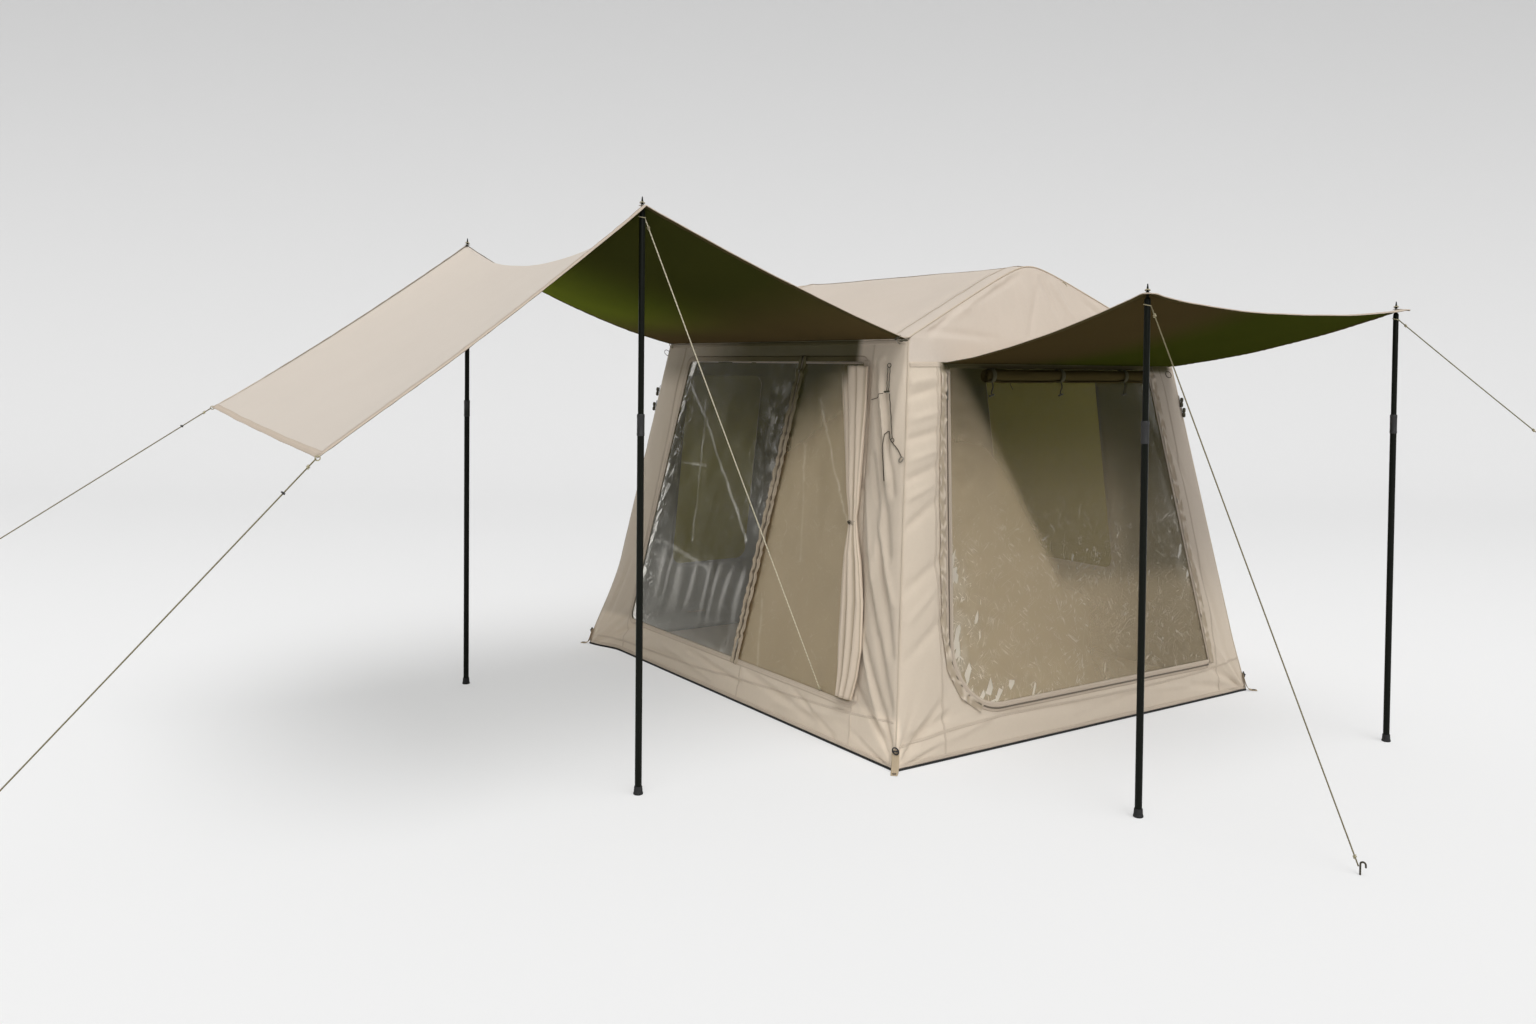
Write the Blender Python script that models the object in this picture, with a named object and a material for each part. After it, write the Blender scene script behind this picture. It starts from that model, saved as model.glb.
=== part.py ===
"""Inflatable cabin tent with two pole-held awnings.

Metres, +Z up, origin on the ground under the tent's middle.
West (-X) is the door side with the large awning, south (-Y) the gable end with the small one.
"""
import math

import bmesh
import bpy
from mathutils import Matrix, Vector

# Tent body
BASE_X = 2.25
BASE_Y = 2.60
EAVE_HEIGHT = 1.70
EAVE_INSET = 0.28
RIDGE_HEIGHT = 2.05
RIDGE_INSET = 0.41
RIDGE_ROUND = 0.10
HEADER_DROP = 0.105
HEADER_HEIGHT = EAVE_HEIGHT - HEADER_DROP
GROUNDSHEET = 0.006
CLOTH = 0.002
CLEAR_SHEET = 0.001
GAP = 0.0004
SEAM = 0.004
LAP = 0.015

# Door opening in the west wall, split by a slanting zip
DOOR_MARGIN = 0.28
DOOR_SILL = 0.19
DOOR_HEAD = EAVE_HEIGHT - 0.10
DOOR_CORNER = 0.03
SPLIT_FOOT = 0.085
SPLIT_HEAD = 0.29

# Clear window in the south wall
BAY_SILL = 0.18
BAY_HEAD = HEADER_HEIGHT - 0.020
BAY_LEFT_HEAD = -0.63
BAY_LEFT_FOOT = -0.79
BAY_RIGHT_HEAD = 0.66
BAY_RIGHT_FOOT = 0.86
BAY_CORNER = 0.24

# Covered windows in the far walls
EAST_WINDOW_MIDDLE = -0.12
EAST_WINDOW_HALF = 0.41
EAST_WINDOW_SILL = 0.50
EAST_WINDOW_HEAD = EAVE_HEIGHT - 0.14
NORTH_WINDOW_MIDDLE = 0.45
NORTH_WINDOW_HALF = 0.25
NORTH_WINDOW_SILL = 0.42
NORTH_WINDOW_HEAD = HEADER_HEIGHT - 0.075
EAST_WINDOW = (EAST_WINDOW_MIDDLE, EAST_WINDOW_HALF, EAST_WINDOW_SILL, EAST_WINDOW_HEAD)
NORTH_WINDOW = (NORTH_WINDOW_MIDDLE, NORTH_WINDOW_HALF, NORTH_WINDOW_SILL, NORTH_WINDOW_HEAD)
WINDOW_CORNER = 0.06
COVER_LAP = 0.03

# Inflated frame
AIR_RADIUS = 0.045
AIR_CLEARANCE = 0.004
AIR_BEND = 0.12

# Inflation valve
VALVE_HEIGHT = 0.35
VALVE_FLANGE = 0.030
VALVE_BARREL = 0.020
VALVE_BORE = 0.014
VALVE_SEAT = 0.008
VALVE_TALL = 0.024
VALVE_TRAVEL = 0.005
HINGE_REACH = 0.027
HINGE_PIN = 0.0014
EAR_GAP = 0.0100
EAR_THICK = 0.0025
EAR_EDGE = 0.0035
EAR_ROOT = 0.0045
FLANGE_RIM = 0.002
FLANGE_RISE = 0.005
SEAT_DEEP = 0.0020
STEM_PLAY = 0.0008
DISC_PLAY = 0.0006
DISC_RISE = 0.0015
DISC_THICK = 0.0018
BUTTON_FOOT = 0.006
BUTTON_HEAD = 0.005
BUTTON_BELOW = 0.0030
CAP_PLUG = 0.0022
CAP_PLAY = 0.0010
CAP_BRIM = 0.001
CAP_THICK = 0.003
KNUCKLE = 0.0026

# Telescopic poles
TUBE_OUTER = 0.0127
TUBE_BORE = 0.0117
INNER_OUTER = 0.0110
INNER_BORE = 0.0098
INNER_LENGTH = 1.167
COLLAR_LOW = 1.316
COLLAR_LONG = 0.080
COLLAR_RADIUS = 0.0143
COLLAR_LIP = 0.006
FOOT_RADIUS = 0.018
FOOT_TALL = 0.030
FOOT_SOLE = 0.006
SPIGOT_RADIUS = 0.005
SPIGOT_TIP = 0.002
SPIGOT_REACH = 0.035
SHOULDER_DROP = 0.013

# West awning: roof panel from the eave to the poles, then a flap sloping down
WEST_POLE_X = -2.08
WEST_POLE_NEAR = -0.98
WEST_POLE_FAR = 0.83
WEST_POLE_TOP = 2.15
WEST_EAVE_HALF = 0.97
FLAP_X = -3.22
FLAP_NEAR_HEIGHT = 1.28
FLAP_FAR_HEIGHT = 1.37
WEST_SAG = 0.15
WEST_HANG = 0.05
FLAP_SAG = 0.02
HEM_BOW = 0.03

# South awning: one panel from the header seam to the poles
SOUTH_POLE_Y = -2.12
SOUTH_POLE_LEFT = -0.70
SOUTH_POLE_RIGHT = 0.91
SOUTH_POLE_TOP = 1.84
SOUTH_WALL_LEFT = -0.64
SOUTH_WALL_RIGHT = 0.80
SOUTH_SAG = 0.045
SOUTH_HANG = 0.03

AWNING_CLOTH = 0.003
AWNING_HEM = 0.030
GROMMET_HOLE = 0.0075

# Guys and pegs
GUY_RADIUS = 0.002
GUY_DROP = 0.045
GUY_SAG = 0.002
PEG_RADIUS = 0.003
PEG_TALL = 0.034
PEG_HOOK = 0.008
FLAP_FAR_PEG = (-5.27, 0.83)
FLAP_NEAR_PEG = (-4.385, -0.93)
SOUTH_PEG = (-0.507, -2.818)
OPEN_GUY_END = (1.36, -2.48, 1.33)
SILL_ANCHOR = 0.765
RUNNER_AT = 0.14
RUNNER_SIZE = (0.030, 0.010, 0.006)
RUNNER_ROUND = 0.0012
STRAP_WIDE = 0.030
STRAP_THICK = 0.0025
STRAP_TOP = 0.070
STRAP_REACH = 0.050
STRAP_BEND = 0.010
STRAP_HOLE = 0.006
STRAP_HOLE_AT = 0.036

SLOPE = math.hypot(EAVE_HEIGHT, EAVE_INSET) / EAVE_HEIGHT
EAVE_X = BASE_X / 2 - EAVE_INSET
EAVE_Y = BASE_Y / 2 - EAVE_INSET
RIDGE_Y = BASE_Y / 2 - RIDGE_INSET
WALL_FOOT = GROUNDSHEET + GAP
POLES = {
    "west_south": (WEST_POLE_X, WEST_POLE_NEAR, WEST_POLE_TOP),
    "west_north": (WEST_POLE_X, WEST_POLE_FAR, WEST_POLE_TOP),
    "south_west": (SOUTH_POLE_LEFT, SOUTH_POLE_Y, SOUTH_POLE_TOP),
    "south_east": (SOUTH_POLE_RIGHT, SOUTH_POLE_Y, SOUTH_POLE_TOP),
}


def clear_scene():
    for obj in list(bpy.data.objects):
        bpy.data.objects.remove(obj, do_unlink=True)


def material(name, colour, roughness, metallic=0.0, alpha=1.0):
    made = bpy.data.materials.new(name)
    made.use_nodes = True
    shader = made.node_tree.nodes["Principled BSDF"]
    shader.inputs["Base Color"].default_value = (*colour, 1.0)
    shader.inputs["Roughness"].default_value = roughness
    shader.inputs["Metallic"].default_value = metallic
    shader.inputs["Alpha"].default_value = alpha
    return made


def add_object(name, data, finish, matrix=None):
    obj = bpy.data.objects.new(name, data)
    bpy.context.scene.collection.objects.link(obj)
    if finish is not None:
        data.materials.append(finish)
    if matrix is not None:
        obj.matrix_world = matrix
    return obj


def mesh_object(name, shape, finish, matrix=None, sharp=40):
    """The object of a bmesh, with its faces turned outwards and its round sides smooth."""
    bmesh.ops.recalc_face_normals(shape, faces=shape.faces)
    mesh = bpy.data.meshes.new(name)
    shape.to_mesh(mesh)
    shape.free()
    mesh.shade_smooth()
    mesh.set_sharp_from_angle(angle=math.radians(sharp))
    return add_object(name, mesh, finish, matrix)


def as_cutter(obj):
    obj.hide_render = True
    obj.display_type = "WIRE"
    return obj


def combine(obj, other, operation="DIFFERENCE"):
    modifier = obj.modifiers.new(operation.title(), "BOOLEAN")
    modifier.operation = operation
    modifier.object = as_cutter(other)


def solidify(obj, thickness, offset):
    modifier = obj.modifiers.new("Solidify", "SOLIDIFY")
    modifier.thickness = thickness
    modifier.offset = offset
    modifier.use_even_offset = True


def lerp(a, b, t):
    return a + (b - a) * t


# Places on the tent


def wall_matrix(side):
    """The frame of a leaning wall: x to the right seen from outside, y up the slope, z outwards."""
    right, inward, away = {
        "west": ((0, -1, 0), (1, 0, 0), BASE_X / 2),
        "south": ((1, 0, 0), (0, 1, 0), BASE_Y / 2),
        "east": ((0, 1, 0), (-1, 0, 0), BASE_X / 2),
        "north": ((-1, 0, 0), (0, -1, 0), BASE_Y / 2),
    }[side]
    right, inward = Vector(right), Vector(inward)
    up = (inward * EAVE_INSET + Vector((0, 0, EAVE_HEIGHT))).normalized()
    turn = Matrix((right, up, right.cross(up))).transposed().to_4x4()
    return Matrix.Translation(-inward * away) @ turn


def on_wall(side, right, height, out=0.0):
    return wall_matrix(side) @ Vector((right, height * SLOPE, out))


def half_wall(side, height):
    """Half the width of a wall's outer face at a height."""
    base = BASE_Y if side in ("west", "east") else BASE_X
    return base / 2 - EAVE_INSET * height / EAVE_HEIGHT


def roof_height(x):
    """The roof's outer surface: two slopes that round into each other at the ridge."""
    rise = (RIDGE_HEIGHT - EAVE_HEIGHT) / (math.hypot(EAVE_X, RIDGE_ROUND) - RIDGE_ROUND)
    return RIDGE_HEIGHT - rise * (math.hypot(x, RIDGE_ROUND) - RIDGE_ROUND)


def end_face_y(z):
    """How far from the middle the outer face of a gable end stands at a height."""
    if z < EAVE_HEIGHT:
        return BASE_Y / 2 - EAVE_INSET * z / EAVE_HEIGHT
    return lerp(EAVE_Y, RIDGE_Y, (z - EAVE_HEIGHT) / (RIDGE_HEIGHT - EAVE_HEIGHT))


def fillet(before, corner, after, radius, steps):
    """Points of the arc that rounds a corner."""
    back = (before - corner).normalized()
    ahead = (after - corner).normalized()
    half = back.angle(ahead) / 2
    reach = radius / math.tan(half)
    middle = corner + (back + ahead).normalized() * (radius / math.sin(half))
    start = corner + back * reach - middle
    end = corner + ahead * reach - middle
    turn = start.angle(end)
    arc = []
    for i in range(steps + 1):
        share = i / steps
        near = math.sin((1 - share) * turn) / math.sin(turn)
        far = math.sin(share * turn) / math.sin(turn)
        arc.append(middle + start * near + end * far)
    return arc


def rounded(corners, radii, steps=6):
    """A closed outline through corners, each rounded by its radius."""
    points = []
    count = len(corners)
    flat = [Vector((x, y, 0)) for x, y in corners]
    for i, radius in enumerate(radii):
        if radius > 0:
            points += fillet(flat[i - 1], flat[i], flat[(i + 1) % count], radius, steps)
        else:
            points.append(flat[i])
    return [(p.x, p.y) for p in points]


def trapezoid(foot, head, foot_left, foot_right, head_left, head_right, radii=(0, 0, 0, 0)):
    """An outline on a wall, from heights and distances to the right."""
    corners = [
        (foot_left, foot * SLOPE),
        (foot_right, foot * SLOPE),
        (head_right, head * SLOPE),
        (head_left, head * SLOPE),
    ]
    return rounded(corners, radii)


# Ways to make shapes


def panel(name, outlines, thickness, finish, matrix):
    """A flat sheet with holes, its outer face on the matrix's XY plane."""
    curve = bpy.data.curves.new(name, "CURVE")
    curve.dimensions = "2D"
    curve.fill_mode = "BOTH"
    curve.extrude = thickness / 2
    for outline in outlines:
        spline = curve.splines.new("POLY")
        spline.points.add(len(outline) - 1)
        for point, (x, y) in zip(spline.points, outline):
            point.co = (x, y, 0, 1)
        spline.use_cyclic_u = True
    inner = Matrix.Translation((0, 0, -thickness / 2))
    return add_object(name, curve, finish, matrix @ inner)


def tube_curve(name, points, radius, resolution=4):
    curve = bpy.data.curves.new(name, "CURVE")
    curve.dimensions = "3D"
    curve.bevel_depth = radius
    curve.bevel_resolution = resolution
    curve.use_fill_caps = True
    spline = curve.splines.new("POLY")
    spline.points.add(len(points) - 1)
    for point, place in zip(spline.points, points):
        point.co = (*place, 1)
    return curve


def tube(name, points, radius, finish, resolution=4):
    return add_object(name, tube_curve(name, points, radius, resolution), finish)


def tube_mesh(name, points, radius, finish, resolution=4):
    """The same tube as a closed mesh, which a Boolean can take."""
    maker = add_object(name + "_maker", tube_curve(name, points, radius, resolution), None)
    bpy.context.view_layer.update()
    graph = bpy.context.evaluated_depsgraph_get()
    mesh = bpy.data.meshes.new_from_object(maker.evaluated_get(graph))
    bpy.data.objects.remove(maker, do_unlink=True)
    shape = bmesh.new()
    shape.from_mesh(mesh)
    bmesh.ops.remove_doubles(shape, verts=shape.verts, dist=1e-6)
    bpy.data.meshes.remove(mesh)
    return mesh_object(name, shape, finish)


def turned(name, profile, finish, matrix=None, segments=16, closed=True):
    """A profile of (radius, height) points, turned about Z. An open one starts and ends on the axis."""
    shape = bmesh.new()
    rim = [shape.verts.new((r, 0, z)) for r, z in profile]
    pairs = list(zip(rim, rim[1:]))
    if closed:
        pairs.append((rim[-1], rim[0]))
    edges = [shape.edges.new(pair) for pair in pairs]
    bmesh.ops.spin(
        shape, geom=rim + edges, axis=(0, 0, 1), cent=(0, 0, 0),
        angle=math.tau, steps=segments, use_merge=True,
    )
    bmesh.ops.remove_doubles(shape, verts=shape.verts, dist=1e-6)
    return mesh_object(name, shape, finish, matrix)


def box(name, low, high, finish, matrix=None):
    shape = bmesh.new()
    size = Vector(high) - Vector(low)
    middle = (Vector(high) + Vector(low)) / 2
    place = Matrix.Translation(middle) @ Matrix.Diagonal((*size, 1))
    bmesh.ops.create_cube(shape, size=1, matrix=place)
    return mesh_object(name, shape, finish, matrix)


def cylinder(name, radius, low, high, finish=None, matrix=None, segments=16):
    shape = bmesh.new()
    bmesh.ops.create_cone(
        shape, cap_ends=True, segments=segments, radius1=radius, radius2=radius,
        depth=high - low, matrix=Matrix.Translation((0, 0, (low + high) / 2)),
    )
    return mesh_object(name, shape, finish, matrix)


def cloth_sheet(name, across, along, place, thickness, finish, offset=0.0):
    """A sheet whose points place(s, t) gives, with s and t from 0 to 1."""
    shape = bmesh.new()
    bmesh.ops.create_grid(shape, x_segments=across, y_segments=along, size=0.5)
    for vert in shape.verts:
        vert.co = place(vert.co.x + 0.5, vert.co.y + 0.5)
    mesh = bpy.data.meshes.new(name)
    shape.to_mesh(mesh)
    shape.free()
    mesh.shade_smooth()
    mesh.set_sharp_from_angle(angle=math.radians(30))
    obj = add_object(name, mesh, finish)
    solidify(obj, thickness, offset)
    return obj


def strip_along(name, path, section, finish, matrix):
    """A section of (sideways, outwards) points swept along a path in the matrix's XY plane."""
    shape = bmesh.new()
    path = [Vector((x, y)) for x, y in path]
    rings = []
    for i, point in enumerate(path):
        ways = []
        if i > 0:
            ways.append((point - path[i - 1]).normalized())
        if i < len(path) - 1:
            ways.append((path[i + 1] - point).normalized())
        way = (ways[0] + ways[-1]).normalized()
        side = Vector((way.y, -way.x)) / max(way.dot(ways[0]), 0.5)
        ring = []
        for sideways, outwards in section:
            place = point + side * sideways
            ring.append(shape.verts.new((place.x, place.y, outwards)))
        rings.append(ring)
    for ring, following in zip(rings, rings[1:]):
        for k in range(len(section)):
            near = (ring[k - 1], ring[k])
            shape.faces.new((*near, following[k], following[k - 1]))
    shape.faces.new(rings[0])
    shape.faces.new(rings[-1])
    return mesh_object(name, shape, finish, matrix)


# The sewn body


def make_groundsheet(finish):
    low = (-BASE_X / 2, -BASE_Y / 2, 0)
    high = (BASE_X / 2, BASE_Y / 2, GROUNDSHEET)
    return box("groundsheet", low, high, finish)


def door_edge(height, lap=0.0):
    return half_wall("west", height) - DOOR_MARGIN + lap


def door_split(height):
    return lerp(SPLIT_FOOT, SPLIT_HEAD, (height - DOOR_SILL) / (DOOR_HEAD - DOOR_SILL))


def bay_edge(height, right, lap=0.0):
    share = (height - BAY_SILL) / (BAY_HEAD - BAY_SILL)
    if right:
        return lerp(BAY_RIGHT_FOOT, BAY_RIGHT_HEAD, share) + lap
    return lerp(BAY_LEFT_FOOT, BAY_LEFT_HEAD, share) - lap


def door_outline():
    foot, head = DOOR_SILL, DOOR_HEAD
    radii = (DOOR_CORNER,) * 4
    low, high = door_edge(foot), door_edge(head)
    return trapezoid(foot, head, -low, low, -high, high, radii)


def bay_outline(lap=0.0):
    foot, head = BAY_SILL - lap, BAY_HEAD + lap
    radii = (BAY_CORNER, 0, 0, 0)
    sides = [bay_edge(height, right, lap) for height in (foot, head) for right in (False, True)]
    return trapezoid(foot, head, *sides, radii)


def window_outline(window, lap=0.0):
    middle, half, sill, head = window
    left, right = middle - half - lap, middle + half + lap
    radii = (WINDOW_CORNER + lap,) * 4
    return trapezoid(sill - lap, head + lap, left, right, left, right, radii)


def make_walls(cloth):
    openings = {
        "west": door_outline(),
        "south": bay_outline(),
        "east": window_outline(EAST_WINDOW),
        "north": window_outline(NORTH_WINDOW),
    }
    for side, opening in openings.items():
        across = side in ("south", "north")
        trim = SEAM if across else 0.0
        head = HEADER_HEIGHT - GAP if across else EAVE_HEIGHT - SEAM
        foot_half = half_wall(side, WALL_FOOT) - trim
        head_half = half_wall(side, head) - trim
        outline = trapezoid(WALL_FOOT, head, -foot_half, foot_half, -head_half, head_half)
        panel("wall_" + side, [outline, opening], CLOTH, cloth, wall_matrix(side))


def make_gable(side, cloth):
    """The triangular end panel, creased where it leaves the wall's plane at the eave."""
    sign = -1 if side == "south" else 1
    shape = bmesh.new()
    outline = []
    header_half = half_wall("south", HEADER_HEIGHT) - SEAM
    eave_half = EAVE_X - SEAM
    steps = 12
    outline.append((-header_half, HEADER_HEIGHT))
    outline.append((header_half, HEADER_HEIGHT))
    for i in range(steps + 1):
        x = lerp(eave_half, -eave_half, i / steps)
        outline.append((x, roof_height(x) - SEAM))
    shape.faces.new([shape.verts.new((x, 0, z)) for x, z in outline])
    everything = shape.verts[:] + shape.edges[:] + shape.faces[:]
    bmesh.ops.bisect_plane(
        shape, geom=everything, plane_co=(0, 0, EAVE_HEIGHT), plane_no=(0, 0, 1), dist=1e-5
    )
    for vert in shape.verts:
        vert.co.y = sign * end_face_y(vert.co.z)
    shape.normal_update()
    for face in shape.faces:
        if face.normal.y * sign < 0:
            face.normal_flip()
    mesh = bpy.data.meshes.new("gable_" + side)
    shape.to_mesh(mesh)
    shape.free()
    obj = add_object("gable_" + side, mesh, cloth)
    solidify(obj, CLOTH, -1)
    return obj


def make_roof(cloth):
    """One sheet over both slopes, a little slack between the ridge and the eaves."""
    slack = 0.010

    def place(s, t):
        x = lerp(-EAVE_X, EAVE_X, s)
        height = roof_height(x)
        y = lerp(-1, 1, t) * end_face_y(height)
        hang = slack * math.sin(math.pi * abs(x) / EAVE_X) * 4 * t * (1 - t)
        return (x, y, height - hang)

    return cloth_sheet("roof_canopy", 16, 6, place, CLOTH, cloth, offset=-1)


def make_clear_sheets(clear):
    matrix = wall_matrix("west") @ Matrix.Translation((0, 0, -CLOTH - GAP))
    foot, head = DOOR_SILL - LAP, DOOR_HEAD + LAP
    left = trapezoid(
        foot, head, -door_edge(foot, LAP), door_split(foot) - GAP,
        -door_edge(head, LAP), door_split(head) - GAP,
    )
    right = trapezoid(
        foot, head, door_split(foot) + GAP, door_edge(foot, LAP),
        door_split(head) + GAP, door_edge(head, LAP),
    )
    panel("clear_window_west", [left], CLEAR_SHEET, clear, matrix)
    panel("clear_door_west", [right], CLEAR_SHEET, clear, matrix)
    matrix = wall_matrix("south") @ Matrix.Translation((0, 0, -CLOTH - GAP))
    panel("clear_window_south", [bay_outline(LAP)], CLEAR_SHEET, clear, matrix)


def make_window_covers(cloth):
    for side, window in (("east", EAST_WINDOW), ("north", NORTH_WINDOW)):
        matrix = wall_matrix(side) @ Matrix.Translation((0, 0, GAP + CLOTH))
        outline = window_outline(window, COVER_LAP)
        panel("window_cover_" + side, [outline], CLOTH, cloth, matrix)


# Zips

TAPE_HALF = 0.020
TAPE_THICK = 0.0015
CHAIN_HALF = 0.003
CHAIN_TALL = 0.0025
TRACK_END = 0.025
SLIDER_HALF = 0.0065
SLIDER_LONG = 0.026
SLIDER_TALL = 0.0065
TUNNEL_HALF = 0.0038
TUNNEL_TALL = 0.0033
TAB_HALF = 0.005
TAB_LONG = 0.034
TRACK_AWAY = TAPE_HALF + 0.004
SLIDER_WEST_AT = DOOR_SILL + 0.080
SLIDER_SOUTH_AT = BAY_HEAD - 0.095


def track_section():
    top = GAP + TAPE_THICK
    return [
        (-TAPE_HALF, GAP),
        (-TAPE_HALF, top),
        (-CHAIN_HALF, top),
        (-CHAIN_HALF, top + CHAIN_TALL),
        (CHAIN_HALF, top + CHAIN_TALL),
        (CHAIN_HALF, top),
        (TAPE_HALF, top),
        (TAPE_HALF, GAP),
    ]


def west_track_path():
    """From below the sill to above the head, along the split of the clear sheets."""
    ends = (DOOR_SILL - TRACK_END, DOOR_HEAD + TRACK_END)
    return [(door_split(height), height * SLOPE) for height in ends]


def south_track_path():
    """Down beside the clear sheet, round its corner and along its sill, on the wall's cloth."""
    away = TRACK_AWAY
    foot, head = BAY_SILL - away, BAY_HEAD - TAPE_HALF
    start = Vector((bay_edge(head, False, away), head * SLOPE, 0))
    corner = Vector((bay_edge(foot, False, away), foot * SLOPE, 0))
    end = Vector((bay_edge(foot, True), foot * SLOPE, 0))
    arc = fillet(start, corner, end, BAY_CORNER + away, 10)
    return [(p.x, p.y) for p in (start, *arc, end)]


def track_place(side, path, height):
    """The matrix of a slider on a track's first straight, its y along the track, z outwards."""
    first, second = (Vector(path[0]), Vector(path[1]))
    way = second - first
    if way.y < 0:
        way = -way
    share = (height * SLOPE - first.y) / (second.y - first.y)
    spot = first.lerp(second, share)
    turn = Matrix.Rotation(-math.atan2(way.x, way.y), 4, "Z")
    lift = GAP + TAPE_THICK + GAP
    return wall_matrix(side) @ Matrix.Translation((spot.x, spot.y, lift)) @ turn


def make_slider(name, matrix, metal):
    """A body with a tunnel for the chain, a bridge over it and a pull tab hanging from the bridge."""
    shape = bmesh.new()
    outline = [
        (-SLIDER_HALF, 0),
        (-TUNNEL_HALF, 0),
        (-TUNNEL_HALF, TUNNEL_TALL),
        (TUNNEL_HALF, TUNNEL_TALL),
        (TUNNEL_HALF, 0),
        (SLIDER_HALF, 0),
        (SLIDER_HALF * 0.8, SLIDER_TALL),
        (-SLIDER_HALF * 0.8, SLIDER_TALL),
    ]
    face = shape.faces.new([shape.verts.new((x, -SLIDER_LONG / 2, z)) for x, z in outline])
    grown = bmesh.ops.extrude_face_region(shape, geom=[face])
    moved = [v for v in grown["geom"] if isinstance(v, bmesh.types.BMVert)]
    bmesh.ops.translate(shape, verts=moved, vec=(0, SLIDER_LONG, 0))
    slider = mesh_object(name, shape, metal, matrix)
    tab_low = (-TAB_HALF, -SLIDER_LONG * 0.3 - TAB_LONG, SLIDER_TALL * 0.75)
    tab_high = (TAB_HALF, SLIDER_LONG * 0.2, SLIDER_TALL * 1.15)
    tab = box(name + "_tab", tab_low, tab_high, None, matrix)
    combine(slider, tab, "UNION")
    return slider


def make_zips(tape, metal):
    west, south = west_track_path(), south_track_path()
    strip_along("zip_track_west", west, track_section(), tape, wall_matrix("west"))
    strip_along("zip_track_south", south, track_section(), tape, wall_matrix("south"))
    make_slider("zip_slider_west", track_place("west", west, SLIDER_WEST_AT), metal)
    make_slider("zip_slider_south", track_place("south", south, SLIDER_SOUTH_AT), metal)


# Gathered and rolled cloth

CURTAIN_HEAD = DOOR_HEAD - 0.025
CURTAIN_FOOT = DOOR_SILL + 0.015
CURTAIN_WAIST = 0.91
CURTAIN_HEAD_INSET = 0.0926
CURTAIN_WAIST_INSET = 0.0701
CURTAIN_FOOT_INSET = 0.1062
CURTAIN_HEAD_HALF = 0.065
CURTAIN_WAIST_HALF = 0.020
CURTAIN_FOOT_HALF = 0.050
CURTAIN_TIED_DEEP = 0.010
CURTAIN_LOOSE_DEEP = 0.014
CURTAIN_DEEPENS = 0.50
PLEATS_OPEN = 0.12
CURTAIN_PLEATS = 5
CURTAIN_BACK = 0.009
TIE_HEIGHT = 0.016
TIE_THICK = 0.002
TIE_CLEAR = 0.0035
ROLL_RADIUS = 0.033
ROLL_HEIGHT = BAY_HEAD - 0.040
ROLL_STEP = 0.0035
ROLL_LEFT = -0.37
ROLL_RIGHT = 0.63


def curtain_middle(height):
    """The curtain's middle line, inside the door's near jamb."""
    if height > CURTAIN_WAIST:
        share = (height - CURTAIN_WAIST) / (CURTAIN_HEAD - CURTAIN_WAIST)
        end, inset = CURTAIN_HEAD, CURTAIN_HEAD_INSET
    else:
        share = (CURTAIN_WAIST - height) / (CURTAIN_WAIST - CURTAIN_FOOT)
        end, inset = CURTAIN_FOOT, CURTAIN_FOOT_INSET
    tied = door_edge(CURTAIN_WAIST) - CURTAIN_WAIST_INSET
    return lerp(tied, door_edge(end) - inset, share)


def curtain_half(height):
    """Half its width: spread at the head and foot, drawn in at the tie."""
    above = height > CURTAIN_WAIST
    reach = CURTAIN_HEAD - CURTAIN_WAIST if above else CURTAIN_WAIST - CURTAIN_FOOT
    spread = CURTAIN_HEAD_HALF if above else CURTAIN_FOOT_HALF
    share = max(0.0, abs(height - CURTAIN_WAIST) - TIE_HEIGHT) / (reach - TIE_HEIGHT)
    return lerp(CURTAIN_WAIST_HALF, spread, math.sin(min(1.0, share) * math.pi / 2) ** 0.8)


def curtain_depth(height):
    share = max(0.0, abs(height - CURTAIN_WAIST) - TIE_HEIGHT) / CURTAIN_DEEPENS
    return lerp(CURTAIN_TIED_DEEP, CURTAIN_LOOSE_DEEP, min(1.0, share))


def make_curtain(cloth, cord):
    matrix = wall_matrix("west")
    shape = bmesh.new()
    around, rings = 30, []
    low, high = CURTAIN_WAIST - TIE_HEIGHT, CURTAIN_WAIST + TIE_HEIGHT
    heights = [lerp(CURTAIN_FOOT, low, i / 6) for i in range(7)]
    heights += [lerp(high, CURTAIN_HEAD, i / 6) for i in range(7)]
    for height in heights:
        middle, half, depth = curtain_middle(height), curtain_half(height), curtain_depth(height)
        slack = min(1.0, max(0.0, abs(height - CURTAIN_WAIST) - TIE_HEIGHT) / PLEATS_OPEN)
        ring = []
        for k in range(around):
            turn = math.tau * k / around
            pleat = 1 - 0.30 * slack * (0.5 - 0.5 * math.cos(CURTAIN_PLEATS * 2 * turn))
            out = CURTAIN_BACK + depth + depth * pleat * math.sin(turn)
            ring.append(shape.verts.new((middle + half * math.cos(turn), height * SLOPE, out)))
        rings.append(ring)
    for ring, following in zip(rings, rings[1:]):
        for k in range(around):
            shape.faces.new((ring[k - 1], ring[k], following[k], following[k - 1]))
    shape.faces.new(rings[0])
    shape.faces.new(rings[-1])
    mesh_object("door_curtain", shape, cloth, matrix, sharp=60)
    make_curtain_tie(cord, matrix)


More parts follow.
